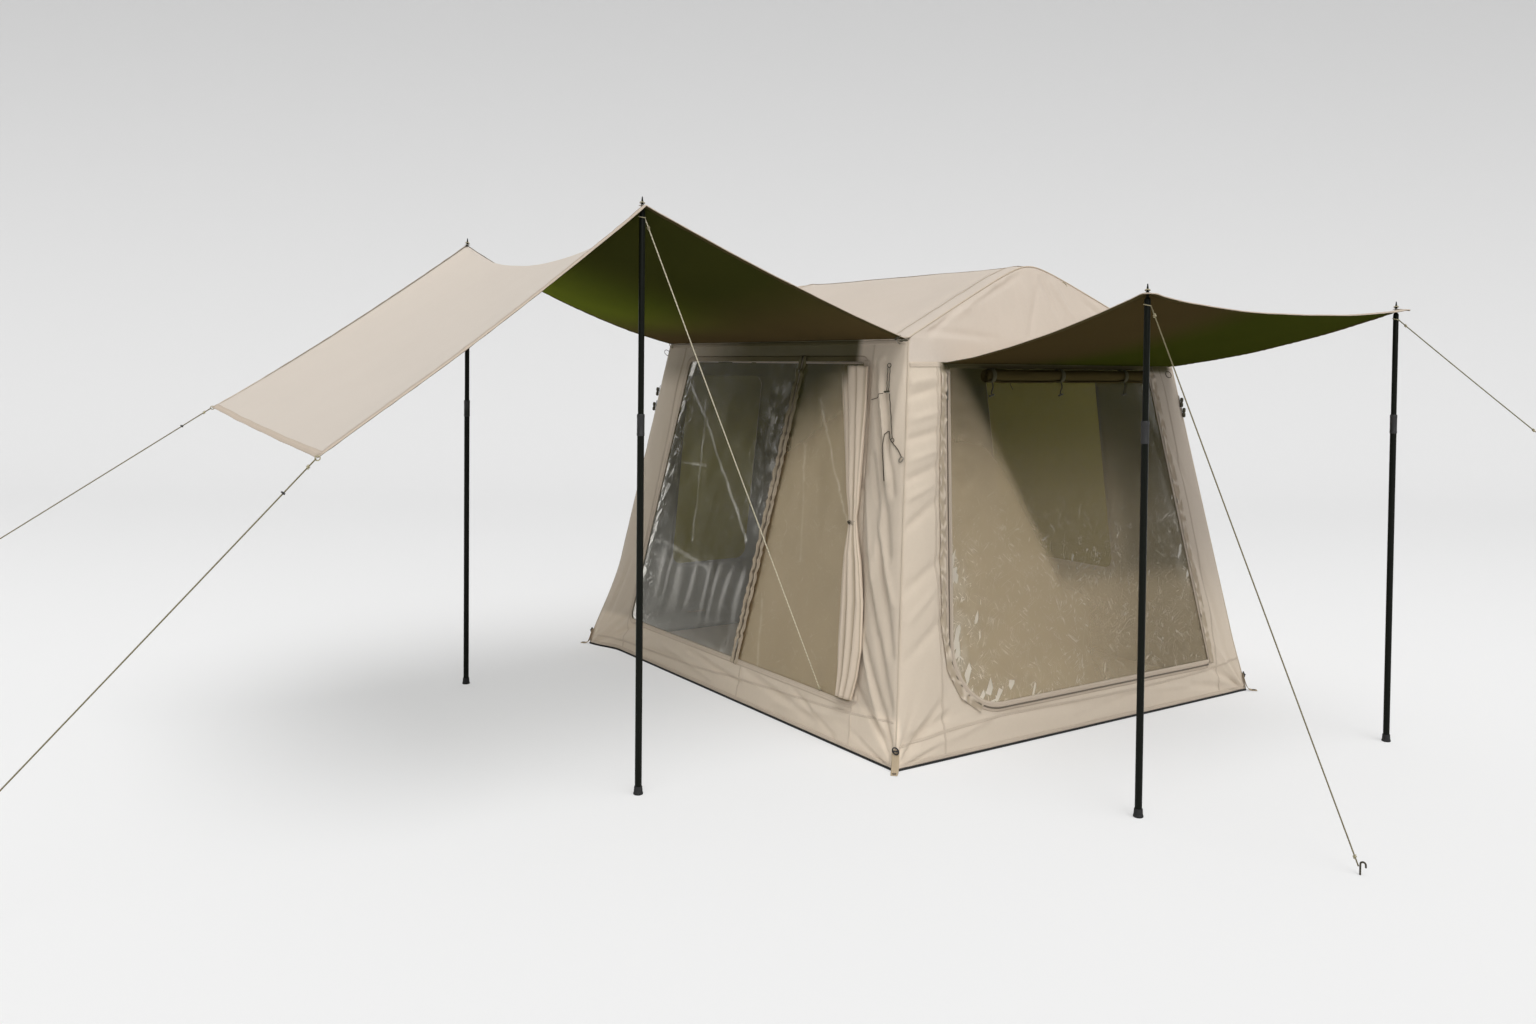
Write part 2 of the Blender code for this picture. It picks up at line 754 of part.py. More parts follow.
def make_curtain_tie(cord, matrix):
    """A band round the curtain's waist."""
    height = CURTAIN_WAIST
    middle, depth = curtain_middle(height), curtain_depth(height)
    inner = Vector((curtain_half(height) + TIE_CLEAR, depth + TIE_CLEAR))
    outer = inner + Vector((TIE_THICK, TIE_THICK))
    shape = bmesh.new()
    around, loops = 20, []
    corners = [(inner, -1), (outer, -1), (outer, 1), (inner, 1)]
    for size, level in corners:
        loop = []
        for k in range(around):
            turn = math.tau * k / around
            x = middle + size.x * math.cos(turn)
            out = CURTAIN_BACK + depth + size.y * math.sin(turn)
            loop.append(shape.verts.new((x, height * SLOPE + level * TIE_HEIGHT / 2, out)))
        loops.append(loop)
    for j in range(4):
        ring, following = loops[j - 1], loops[j]
        for k in range(around):
            shape.faces.new((ring[k - 1], ring[k], following[k], following[k - 1]))
    return mesh_object("curtain_tie", shape, cord, matrix)


def make_rolled_cover(cloth):
    """The rolled-up window cover: a spiral of cloth with its loose edge outside."""
    around = 18
    outline = []
    for k in range(around):
        turn = math.tau * k / around
        radius = ROLL_RADIUS - ROLL_STEP * k / around
        outline.append((radius * math.cos(turn), radius * math.sin(turn)))
    place = on_wall("south", ROLL_RIGHT, ROLL_HEIGHT, ROLL_RADIUS + CLOTH)
    turn = Matrix(((0, 0, 1), (0, 1, 0), (-1, 0, 0))).to_4x4()
    matrix = Matrix.Translation(place) @ wall_matrix("south").to_3x3().to_4x4() @ turn
    return panel("rolled_cover_south", [outline], ROLL_RIGHT - ROLL_LEFT, cloth, matrix)


# The inflated frame


def air_inset(lean_run, lean_rise):
    """Horizontal distance from a leaning face to the axis of a tube lying inside it."""
    return (CLOTH + AIR_CLEARANCE + AIR_RADIUS) * math.hypot(lean_run, lean_rise) / lean_rise


def column_x(z):
    return half_wall("south", z) - air_inset(EAVE_INSET, EAVE_HEIGHT)


def gable_beam_point(x):
    """A point of the tube under the roof's end, the roof's outline moved in by the tube."""
    small = 1e-4
    fall = (roof_height(x + small) - roof_height(x - small)) / (2 * small)
    away = CLOTH + AIR_CLEARANCE + AIR_RADIUS
    square = math.hypot(1, fall)
    return x + away * fall / square, roof_height(x) - away / square


def arch_corner():
    """Where a column's axis meets the gable beam's."""
    outer = gable_beam_point(EAVE_X)
    inner = gable_beam_point(EAVE_X * 0.8)
    fall = (outer[1] - inner[1]) / (outer[0] - inner[0])
    low, high = 0.0, EAVE_HEIGHT
    for _ in range(40):
        z = (low + high) / 2
        if inner[1] + fall * (column_x(z) - inner[0]) > z:
            low = z
        else:
            high = z
    return column_x(z), z


def arch_y(z):
    lean = air_inset(RIDGE_INSET - EAVE_INSET, RIDGE_HEIGHT - EAVE_HEIGHT)
    return end_face_y(z + AIR_RADIUS * 0.6) - lean


def column_foot():
    """The lowest point of a column's axis that keeps its tilted end off the groundsheet."""
    tilt = math.atan2(math.hypot(EAVE_INSET, EAVE_INSET), EAVE_HEIGHT)
    return GROUNDSHEET + GAP + AIR_RADIUS * math.sin(tilt) + 0.001


def column_point(z):
    inset = air_inset(EAVE_INSET, EAVE_HEIGHT)
    return Vector((column_x(z), half_wall("west", z) - inset, z))


def arch_path(sign):
    """Up one column, over under the roof's end, and down the other."""
    corner_x, corner_z = arch_corner()
    foot = column_point(column_foot())
    corner = Vector((corner_x, arch_y(corner_z), corner_z))
    beam = []
    reach = EAVE_X * 0.72
    steps = 12
    for i in range(steps + 1):
        x, z = gable_beam_point(lerp(reach, -reach, i / steps))
        beam.append(Vector((x, arch_y(z), z)))
    bend = fillet(foot, corner, beam[0], AIR_BEND, 5)
    half = [foot, *bend]
    other = [Vector((-p.x, p.y, p.z)) for p in reversed(half)]
    return [Vector((p.x, sign * p.y, p.z)) for p in (*half, *beam, *other)]


def make_air_frame(bladder):
    paths = {"south": arch_path(-1), "north": arch_path(1)}
    cutters = {}
    for side, path in paths.items():
        tube_mesh("air_arch_" + side, path, AIR_RADIUS, bladder)
        cutters[side] = as_cutter(tube_mesh("arch_cutter_" + side, path, AIR_RADIUS + GAP, None))
    south, north = paths["south"], paths["north"]
    middle = len(south) // 2
    bend_middle = 1 + 5 // 2
    ends = {
        "air_beam_ridge": (south[middle], north[middle]),
        "air_beam_east": (south[bend_middle], north[bend_middle]),
        "air_beam_west": (south[-1 - bend_middle], north[-1 - bend_middle]),
    }
    for name, (start, end) in ends.items():
        beam = tube_mesh(name, [start, end], AIR_RADIUS * 0.97, bladder)
        for cutter in cutters.values():
            combine(beam, cutter)
    return cutters


# The inflation valve, on the north-east column, facing into the tent


def valve_matrix():
    """Its z points out of the column into the tent, its x is level."""
    spot = column_point(VALVE_HEIGHT)
    axis = (column_point(EAVE_HEIGHT) - column_point(0)).normalized()
    out = Vector((-1, -1, 0))
    out = (out - axis * out.dot(axis)).normalized()
    across = axis.cross(out).normalized()
    turn = Matrix((across, out.cross(across), out)).transposed().to_4x4()
    return Matrix.Translation(spot + out * AIR_RADIUS) @ turn


def make_valve(rubber, bladder_cutter):
    matrix = valve_matrix()
    seat_level = VALVE_TALL * 0.4
    body = turned(
        "valve_body",
        [
            (VALVE_SEAT, -AIR_RADIUS * 0.4),
            (VALVE_FLANGE, -AIR_RADIUS * 0.4),
            (VALVE_FLANGE, FLANGE_RIM),
            (VALVE_BARREL, FLANGE_RISE),
            (VALVE_BARREL, VALVE_TALL),
            (VALVE_BORE, VALVE_TALL),
            (VALVE_BORE, seat_level),
            (VALVE_SEAT, seat_level),
        ],
        rubber, matrix, segments=24,
    )
    ear_at = EAR_GAP / 2 + EAR_THICK / 2
    for side in (-1, 1):
        low = (-HINGE_REACH - EAR_EDGE, side * ear_at - EAR_THICK / 2, -FLANGE_RIM / 2)
        high = (-HINGE_REACH + EAR_ROOT, side * ear_at + EAR_THICK / 2, VALVE_TALL + EAR_EDGE)
        ear = box(f"valve_ear{side}", low, high, None, matrix)
        combine(body, ear, "UNION")
    pin_turn = Matrix.Translation((-HINGE_REACH, 0, VALVE_TALL)) @ Matrix.Rotation(math.pi / 2, 4, "X")
    deep = VALVE_BARREL
    pin_hole = cylinder("valve_pin_hole", HINGE_PIN + GAP, -deep, deep, None, matrix @ pin_turn, 12)
    combine(body, pin_hole)
    combine(body, bladder_cutter)
    make_valve_plunger(rubber, matrix, seat_level)
    make_valve_cap(rubber, matrix, pin_turn)


def make_valve_plunger(rubber, matrix, seat_level):
    """A disc that seals on the seat from outside air, with a button above and a stem through the seat."""
    disc = seat_level + VALVE_TRAVEL + DISC_RISE
    return turned(
        "valve_plunger",
        [
            (0, seat_level - SEAT_DEEP),
            (VALVE_SEAT - STEM_PLAY, seat_level - SEAT_DEEP),
            (VALVE_SEAT - STEM_PLAY, disc),
            (VALVE_BORE - DISC_PLAY, disc),
            (VALVE_BORE - DISC_PLAY, disc + DISC_THICK),
            (BUTTON_FOOT, disc + DISC_THICK),
            (BUTTON_HEAD, VALVE_TALL - BUTTON_BELOW - GAP),
            (0, VALVE_TALL - BUTTON_BELOW),
        ],
        rubber, matrix, segments=24, closed=False,
    )


def make_valve_cap(rubber, matrix, pin_turn):
    """A plug lid that flips open on a hinge at the flange's edge."""
    low = VALVE_TALL + GAP
    lid = CAP_THICK
    cap = turned(
        "valve_cap",
        [
            (0, VALVE_TALL - CAP_PLUG),
            (VALVE_BORE - CAP_PLAY, VALVE_TALL - CAP_PLUG),
            (VALVE_BORE - CAP_PLAY, low),
            (VALVE_BARREL + CAP_BRIM, low),
            (VALVE_BARREL + CAP_BRIM, low + lid * 0.7),
            (VALVE_BARREL - CAP_BRIM, low + lid),
            (0, low + lid),
        ],
        rubber, matrix, segments=24, closed=False,
    )
    half = EAR_GAP / 2 - GAP
    arm_low, arm_high = (-HINGE_REACH, -half, low), (-VALVE_BARREL * 0.8, half, low + lid * 0.7)
    arm = box("valve_cap_arm", arm_low, arm_high, None, matrix)
    knuckle = cylinder("valve_cap_knuckle", KNUCKLE, -half, half, None, matrix @ pin_turn, 12)
    reach = EAR_GAP / 2 + EAR_THICK
    pin = cylinder("valve_cap_pin", HINGE_PIN, -reach, reach, None, matrix @ pin_turn, 12)
    for piece in (arm, knuckle, pin):
        combine(cap, piece, "UNION")
    return cap


# Poles


def make_pole(which, black, rubber, metal):
    x, y, top = POLES[which]
    stand = Matrix.Translation((x, y, 0))
    name = "pole_" + which
    fit = TUBE_OUTER + GAP
    turned(
        name + "_foot",
        [
            (0, 0),
            (FOOT_RADIUS, 0),
            (FOOT_RADIUS, FOOT_TALL * 0.25),
            (FOOT_RADIUS * 0.86, FOOT_TALL * 0.4),
            (FOOT_RADIUS * 0.82, FOOT_TALL),
            (fit, FOOT_TALL),
            (fit, FOOT_SOLE),
            (0, FOOT_SOLE),
        ],
        rubber, stand, closed=False,
    )
    tube_top = COLLAR_LOW + COLLAR_LONG - COLLAR_LIP - GAP
    tube_foot = FOOT_SOLE + GAP
    turned(
        name + "_lower",
        [
            (TUBE_BORE, tube_foot),
            (TUBE_OUTER, tube_foot),
            (TUBE_OUTER, tube_top),
            (TUBE_BORE, tube_top),
        ],
        black, stand,
    )
    make_collar(name + "_collar", black, stand)
    shoulder = top - SHOULDER_DROP
    turned(
        name + "_upper",
        [
            (0, top + SPIGOT_REACH),
            (SPIGOT_TIP, top + SPIGOT_REACH - 0.002),
            (SPIGOT_RADIUS, top + 0.008),
            (SPIGOT_RADIUS, shoulder),
            (SPIGOT_RADIUS + 0.002, shoulder),
            (INNER_OUTER, shoulder - 0.008),
            (INNER_OUTER, shoulder - INNER_LENGTH),
            (INNER_BORE, shoulder - INNER_LENGTH),
            (INNER_BORE, shoulder - 0.020),
            (0, shoulder - 0.020),
        ],
        metal, stand, closed=False,
    )


def make_collar(name, black, stand):
    """The twist-lock sleeve round the joint, its grip fluted."""
    fit, neck = TUBE_OUTER + GAP, INNER_OUTER + GAP * 1.5
    high = COLLAR_LOW + COLLAR_LONG
    ends = 0.012
    shape = bmesh.new()
    profile = [
        (fit, COLLAR_LOW),
        (COLLAR_RADIUS - 0.0006, COLLAR_LOW),
        (COLLAR_RADIUS, COLLAR_LOW + 0.002),
        (COLLAR_RADIUS, COLLAR_LOW + ends),
        (COLLAR_RADIUS, high - ends),
        (COLLAR_RADIUS, high - 0.004),
        (COLLAR_RADIUS - 0.0012, high),
        (neck, high),
        (neck, high - COLLAR_LIP),
        (fit, high - COLLAR_LIP),
    ]
    rim = [shape.verts.new((r, 0, z)) for r, z in profile]
    edges = [shape.edges.new((rim[i - 1], rim[i])) for i in range(len(rim))]
    segments = 16
    bmesh.ops.spin(
        shape, geom=rim + edges, axis=(0, 0, 1), cent=(0, 0, 0),
        angle=math.tau, steps=segments, use_merge=True,
    )
    grip_low, grip_high = COLLAR_LOW + ends - 1e-4, high - ends + 1e-4
    flute = 0.0007
    for vert in shape.verts:
        radius = math.hypot(vert.co.x, vert.co.y)
        step = round(math.atan2(vert.co.y, vert.co.x) / math.tau * segments)
        if radius > COLLAR_RADIUS - 1e-5 and grip_low < vert.co.z < grip_high and step % 2:
            shrink = (radius - flute) / radius
            vert.co.x *= shrink
            vert.co.y *= shrink
    return mesh_object(name, shape, black, stand)


# Awnings


def hemmed(share, steps, hem):
    """Grid shares whose first and last steps are the hems outside the poles, at 0 and 1."""
    step = round(share * steps)
    if step == 0:
        return -hem
    if step == steps:
        return 1 + hem
    return (step - 1) / (steps - 2)


def dip(t):
    """How a hem sags between two poles: nothing at both, all of it in the middle."""
    return max(0.0, 4 * t * (1 - t))


def west_awning_point(s, t):
    """From the eave (s 0) over the pole line (s half) to the flap's hem (s 1), t from pole to pole."""
    ridge = WEST_POLE_TOP - WEST_SAG * dip(t) ** 0.7
    y = lerp(WEST_POLE_NEAR, WEST_POLE_FAR, t)
    if s <= 0.5:
        q = s * 2
        x = lerp(-EAVE_X - AWNING_CLOTH, WEST_POLE_X, q)
        eave_y = lerp(-WEST_EAVE_HALF, WEST_EAVE_HALF, t)
        hang = WEST_HANG * 4 * q * (1 - q) * lerp(0.35, 1.0, t)
        return Vector((x, lerp(eave_y, y, q), lerp(EAVE_HEIGHT - AWNING_CLOTH, ridge, q) - hang))
    q = s * 2 - 1
    hem = lerp(FLAP_NEAR_HEIGHT, FLAP_FAR_HEIGHT, t) - FLAP_SAG * dip(t)
    x = lerp(WEST_POLE_X, FLAP_X, q) + HEM_BOW * dip(t) * q
    return Vector((x, y, lerp(ridge, hem, q) - FLAP_SAG * 4 * q * (1 - q)))


def south_awning_point(s, t):
    """From the header seam (t 0) to the pole line (t 1) and the hem beyond, s from pole to pole."""
    wall_x = lerp(SOUTH_WALL_LEFT, SOUTH_WALL_RIGHT, s)
    x = lerp(wall_x, lerp(SOUTH_POLE_LEFT, SOUTH_POLE_RIGHT, s), t)
    y = lerp(-end_face_y(HEADER_HEIGHT) - AWNING_CLOTH, SOUTH_POLE_Y, t)
    sag = SOUTH_SAG * dip(s) ** 0.8 * t + SOUTH_HANG * dip(t)
    z = lerp(HEADER_HEIGHT, SOUTH_POLE_TOP, min(t, 1))
    return Vector((x, y + HEM_BOW * dip(s) * t, z - sag))


def grommet_cutters(name, places):
    return [
        cylinder(f"{name}_{i}", GROMMET_HOLE, z - 0.05, z + 0.05, None, Matrix.Translation((x, y, 0)), 12)
        for i, (x, y, z) in enumerate(places)
    ]


WEST_HEM = AWNING_HEM / (WEST_POLE_FAR - WEST_POLE_NEAR)
SOUTH_HEM = AWNING_HEM / (SOUTH_POLE_RIGHT - SOUTH_POLE_LEFT)
SOUTH_LIP = AWNING_HEM / (BASE_Y / 2 - SOUTH_POLE_Y)


def make_awnings(cloth):
    along, over = 10, 8

    def west(s, t):
        return west_awning_point(1 - s, hemmed(t, along, WEST_HEM))

    def south(s, t):
        step = round((1 - t) * over)
        reach = 1 + SOUTH_LIP if step == over else step / (over - 1)
        return south_awning_point(hemmed(s, along, SOUTH_HEM), reach)

    west_sheet = cloth_sheet("awning_west", 12, along, west, AWNING_CLOTH, cloth)
    south_sheet = cloth_sheet("awning_south", along, over, south, AWNING_CLOTH, cloth)
    for cutter in grommet_cutters("west_grommet", [POLES["west_south"], POLES["west_north"]]):
        combine(west_sheet, cutter)
    for cutter in grommet_cutters("south_grommet", [POLES["south_west"], POLES["south_east"]]):
        combine(south_sheet, cutter)


# Guys, pegs and corner tabs


def flap_corner(far):
    return west_awning_point(1, 1 + WEST_HEM if far else -WEST_HEM)


def taut(start, end, count):
    """A line pulled tight between two points, with the little sag its own weight gives."""
    points = []
    for i in range(count):
        share = i / (count - 1)
        point = start.lerp(end, share)
        point.z -= GUY_SAG * 4 * share * (1 - share)
        points.append(point)
    return points


def peg_hold(place, toward):
    """Where a guy ends: against the peg's shank, on the side it comes from."""
    way = Vector((toward.x - place[0], toward.y - place[1], 0)).normalized()
    return Vector((place[0], place[1], PEG_TALL * 0.75)) + way * (PEG_RADIUS + GUY_RADIUS + GAP)


def guy_ends():
    """Each guy's start and end."""
    far, near = flap_corner(True), flap_corner(False)
    off = AWNING_CLOTH + GUY_RADIUS
    sill = (DOOR_SILL + 0.005, GUY_RADIUS + GAP * 3)
    ends = {}
    peg = peg_hold(FLAP_FAR_PEG, far)
    ends["guy_flap_far"] = (far + (peg - far).normalized() * off, peg)
    peg = peg_hold(FLAP_NEAR_PEG, near)
    ends["guy_flap_near"] = (near + (peg - near).normalized() * off, peg)
    anchors = {
        "guy_pole_west": ("west_south", on_wall("west", SILL_ANCHOR, *sill)),
        "guy_pole_south": ("south_west", None),
        "guy_pole_east": ("south_east", Vector(OPEN_GUY_END)),
    }
    for name, (which, anchor) in anchors.items():
        x, y, top = POLES[which]
        head = Vector((x, y, top - GUY_DROP))
        if anchor is None:
            anchor = peg_hold(SOUTH_PEG, head)
        way = Vector((anchor.x - x, anchor.y - y, 0)).normalized()
        ends[name] = (head + way * (INNER_OUTER + GUY_RADIUS + GAP * 2), anchor)
    return ends


def make_guys(cord):
    for name, (start, end) in guy_ends().items():
        tube(name, taut(start, end, 24), GUY_RADIUS, cord, resolution=2)


def make_runner(name, guy, plastic):
    """A bar with two holes on the guy, which slides along it to set the tension."""
    start, end = guy_ends()[guy]
    way = (end - start).normalized()
    across = way.cross(Vector((0, 0, 1))).normalized()
    turn = Matrix((across, way.cross(across), way)).transposed().to_4x4()
    matrix = Matrix.Translation(taut_point(start, end, RUNNER_AT)) @ turn
    wide, deep, thick = RUNNER_SIZE
    pitch = wide * 0.42
    low = (-wide / 2 + pitch / 2, -deep / 2, -thick / 2)
    high = (wide / 2 + pitch / 2, deep / 2, thick / 2)
    bar = box(name, low, high, plastic, matrix)
    for i, offset in enumerate((0.0, pitch)):
        hole = Matrix.Translation((offset, 0, 0))
        cutter = cylinder(f"{name}_hole_{i}", GUY_RADIUS + GAP * 2, -0.02, 0.02, None, matrix @ hole, 12)
        combine(bar, cutter)
    bevel = bar.modifiers.new("Bevel", "BEVEL")
    bevel.width = RUNNER_ROUND
    bevel.segments = 1
    bar.modifiers.move(len(bar.modifiers) - 1, 0)
    return bar


def taut_point(start, end, distance):
    share = distance / (end - start).length
    point = start.lerp(end, share)
    point.z -= GUY_SAG * 4 * share * (1 - share)
    return point


def make_peg(name, place, toward, metal):
    """The part of a hook peg above the ground: a shank and a hook turned away from the guy."""
    way = Vector((place[0] - toward[0], place[1] - toward[1], 0)).normalized()
    foot = Vector((place[0], place[1], 0))
    middle = foot + way * PEG_HOOK + Vector((0, 0, PEG_TALL))
    points = [foot, foot + Vector((0, 0, PEG_TALL * 0.6))]
    for i in range(9):
        turn = math.pi * i / 8
        rise = Vector((0, 0, PEG_HOOK * math.sin(turn)))
        points.append(middle - way * (PEG_HOOK * math.cos(turn)) + rise)
    points.append(points[-1] - Vector((0, 0, PEG_HOOK)))
    return tube(name, points, PEG_RADIUS, metal, resolution=3)


def make_corner_tab(name, sign_x, sign_y, webbing):
    """A strap from the wall's corner down to the ground, with a hole for a peg."""
    way = Vector((sign_x, sign_y, 0)).normalized()
    corner = Vector((sign_x * BASE_X / 2, sign_y * BASE_Y / 2, 0))
    across = Vector((-way.y, way.x, 0))
    stand = Matrix((way, across, Vector((0, 0, 1)))).transposed().to_4x4()
    matrix = Matrix.Translation(corner) @ stand
    lean = math.hypot(EAVE_INSET, EAVE_INSET) / EAVE_HEIGHT
    head = STRAP_THICK * 0.6 - lean * STRAP_TOP
    side = [
        (head + STRAP_THICK, STRAP_TOP),
        (STRAP_BEND + STRAP_THICK * 0.8, STRAP_BEND + STRAP_THICK * 1.8),
        (STRAP_BEND * 2, STRAP_THICK),
        (STRAP_REACH, STRAP_THICK),
        (STRAP_REACH, 0.0),
        (STRAP_BEND * 1.8, 0.0),
        (STRAP_BEND, STRAP_BEND),
        (head, STRAP_TOP),
    ]
    shape = bmesh.new()
    face = shape.faces.new([shape.verts.new((x, -STRAP_WIDE / 2, z)) for x, z in side])
    grown = bmesh.ops.extrude_face_region(shape, geom=[face])
    moved = [v for v in grown["geom"] if isinstance(v, bmesh.types.BMVert)]
    bmesh.ops.translate(shape, verts=moved, vec=(0, STRAP_WIDE, 0))
    tab = mesh_object(name, shape, webbing, matrix)
    place = Matrix.Translation((STRAP_HOLE_AT, 0, 0))
    deep = STRAP_THICK * 4
    combine(tab, cylinder(name + "_hole", STRAP_HOLE, -deep, deep, None, matrix @ place, 12))
    return tab


def make_pegs(metal, webbing):
    make_peg("peg_flap_far", FLAP_FAR_PEG, flap_corner(True), metal)
    make_peg("peg_flap_near", FLAP_NEAR_PEG, flap_corner(False), metal)
    make_peg("peg_south", SOUTH_PEG, POLES["south_west"], metal)
    corners = {
        "south_west": (-1, -1),
        "south_east": (1, -1),
        "north_west": (-1, 1),
        "north_east": (1, 1),
    }
    for which, (sign_x, sign_y) in corners.items():
        make_corner_tab("corner_tab_" + which, sign_x, sign_y, webbing)


def main():
    clear_scene()
    sand = material("sand_cloth", (0.62, 0.54, 0.46), 0.85)
    awning = material("awning_cloth", (0.64, 0.57, 0.49), 0.80)
    clear = material("clear_vinyl", (0.80, 0.82, 0.80), 0.15, alpha=0.3)
    black_sheet = material("groundsheet_black", (0.03, 0.03, 0.03), 0.6)
    bladder = material("bladder_grey", (0.30, 0.30, 0.29), 0.5)
    rubber = material("black_rubber", (0.03, 0.03, 0.03), 0.7)
    black_tube = material("black_tube", (0.03, 0.035, 0.035), 0.35, 0.6)
    steel = material("dark_steel", (0.25, 0.24, 0.22), 0.4, 1.0)
    tape = material("brown_tape", (0.38, 0.30, 0.24), 0.8)
    cord = material("sand_cord", (0.60, 0.54, 0.40), 0.9)
    plastic = material("dark_plastic", (0.08, 0.08, 0.07), 0.5)
    make_groundsheet(black_sheet)
    make_walls(sand)
    make_gable("south", sand)
    make_gable("north", sand)
    make_roof(sand)
    make_clear_sheets(clear)
    make_window_covers(sand)
    make_zips(tape, steel)
    make_curtain(sand, cord)
    make_rolled_cover(sand)
    cutters = make_air_frame(bladder)
    make_valve(rubber, cutters["north"])
    for which in POLES:
        make_pole(which, black_tube, rubber, black_tube)
    make_awnings(awning)
    make_guys(cord)
    make_runner("runner_flap_far", "guy_flap_far", plastic)
    make_runner("runner_flap_near", "guy_flap_near", plastic)
    make_pegs(steel, webbing=tape)


main()
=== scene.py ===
import math

import bmesh
import bpy
from mathutils import Matrix, Vector, noise


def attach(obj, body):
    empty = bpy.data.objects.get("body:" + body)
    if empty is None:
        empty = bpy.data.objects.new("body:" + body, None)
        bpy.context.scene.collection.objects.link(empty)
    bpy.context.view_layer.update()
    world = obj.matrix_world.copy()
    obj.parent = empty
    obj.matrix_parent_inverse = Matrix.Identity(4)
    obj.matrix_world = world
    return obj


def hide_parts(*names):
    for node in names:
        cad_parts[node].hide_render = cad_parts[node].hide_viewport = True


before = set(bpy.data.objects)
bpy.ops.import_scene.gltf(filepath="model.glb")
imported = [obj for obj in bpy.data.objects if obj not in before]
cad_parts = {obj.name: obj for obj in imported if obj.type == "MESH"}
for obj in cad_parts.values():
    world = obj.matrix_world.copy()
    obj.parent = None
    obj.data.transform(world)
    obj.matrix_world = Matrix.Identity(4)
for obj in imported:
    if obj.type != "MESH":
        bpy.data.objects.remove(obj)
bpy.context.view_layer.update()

print("frame loaded")

# sizes shared by the sewn pieces, metres
tent = {
    "baseX": 2.25,
    "baseY": 2.60,
    "eave": 1.70,
    "inset": 0.28,
    "ridge": 2.05,
    "ridgeInset": 0.41,
    "ridgeRound": 0.10,
    "header": 1.595,
    "cornerRound": 0.028,  # the walls bend round the air columns
    "cloth": 0.0016,
}
slope = math.hypot(tent["eave"], tent["inset"]) / tent["eave"]
eaveX = tent["baseX"] / 2 - tent["inset"]
eaveY = tent["baseY"] / 2 - tent["inset"]
ridgeY = tent["baseY"] / 2 - tent["ridgeInset"]


def lerp(a, b, t):
    return a + (b - a) * t


def clamp(x, low=0.0, high=1.0):
    return max(low, min(high, x))


def smooth(low, high, x):
    t = clamp((x - low) / (high - low))
    return t * t * (3 - 2 * t)


def crumple(x, y, z=0.0, octaves=3):
    total, size = 0.0, 1.0
    for _ in range(octaves):
        total += noise.noise(Vector((x, y, z))) * size
        x, y, z, size = x * 2.03, y * 2.03, z * 2.03, size * 0.5
    return total


def crease(x, y, z=0.0):
    # sharp valleys and ridges, 0 to 1
    return 1 - abs(noise.noise(Vector((x, y, z)))) * 2.4


def addObject(name, data):
    made = bpy.data.objects.new(name, data)
    bpy.context.scene.collection.objects.link(made)
    return made


# the camera comes first, at the photograph's place

cameraSettings = {
    "place": (-4.132, -4.860, 1.570),
    "yaw": 56.08,
    "pitch": 1.49,
    "roll": 0.56,
    "lens": 28.12,
    "shiftY": -0.0738,
}


def makeCamera(s):
    yaw, pitch, roll = (math.radians(s[k]) for k in ("yaw", "pitch", "roll"))
    ahead = Vector((math.cos(yaw) * math.cos(pitch), math.sin(yaw) * math.cos(pitch), -math.sin(pitch)))
    level = Vector((math.sin(yaw), -math.cos(yaw), 0))
    over = level.cross(ahead)
    right = level * math.cos(roll) + over * math.sin(roll)
    up = over * math.cos(roll) - level * math.sin(roll)
    data = bpy.data.cameras.new("photoCamera")
    data.sensor_width = 36
    data.lens = s["lens"]
    data.shift_y = s["shiftY"]
    data.clip_end = 200
    camera = addObject("photoCamera", data)
    turn = Matrix((right, up, -ahead)).transposed().to_4x4()
    camera.matrix_world = Matrix.Translation(s["place"]) @ turn
    bpy.context.scene.camera = camera


makeCamera(cameraSettings)
print("camera set")

# node helpers and the node groups shared by the materials


def feed(node, inputs):
    # an input takes another node's socket or a plain value
    for key, value in inputs.items():
        if isinstance(value, bpy.types.NodeSocket):
            node.id_data.links.new(value, node.inputs[key])
        else:
            node.inputs[key].default_value = value


def addNode(tree, kind, inputs=None, **settings):
    node = tree.nodes.new(kind)
    for key, value in settings.items():
        setattr(node, key, value)
    feed(node, inputs or {})
    return node


def math2(tree, operation, *values, clampIt=False):
    return addNode(
        tree, "ShaderNodeMath", dict(enumerate(values)), operation=operation, use_clamp=clampIt).outputs[0]


def mixColour(tree, factor, a, b, blend="MIX"):
    a, b = ((*c, 1.0) if isinstance(c, tuple) else c for c in (a, b))
    return addNode(
        tree, "ShaderNodeMix", {0: factor, 6: a, 7: b}, data_type="RGBA", blend_type=blend).outputs[2]


def ramp(tree, value, low, high, first=0.0, last=1.0, kind="SMOOTHSTEP"):
    # first up to low, last from high on
    ends = {"From Min": low, "From Max": high, "To Min": first, "To Max": last}
    return addNode(tree, "ShaderNodeMapRange", {"Value": value, **ends}, interpolation_type=kind).outputs[0]


def noiseNode(tree, vector, **settings):
    return addNode(tree, "ShaderNodeTexNoise", {"Vector": vector, **settings}).outputs[0]


def splitNode(tree, vector):
    return addNode(tree, "ShaderNodeSeparateXYZ", {0: vector}).outputs


def bump(tree, height, strength, distance, before=None):
    inputs = {"Height": height, "Strength": strength, "Distance": distance}
    if before is not None:
        inputs["Normal"] = before
    return addNode(tree, "ShaderNodeBump", inputs).outputs[0]


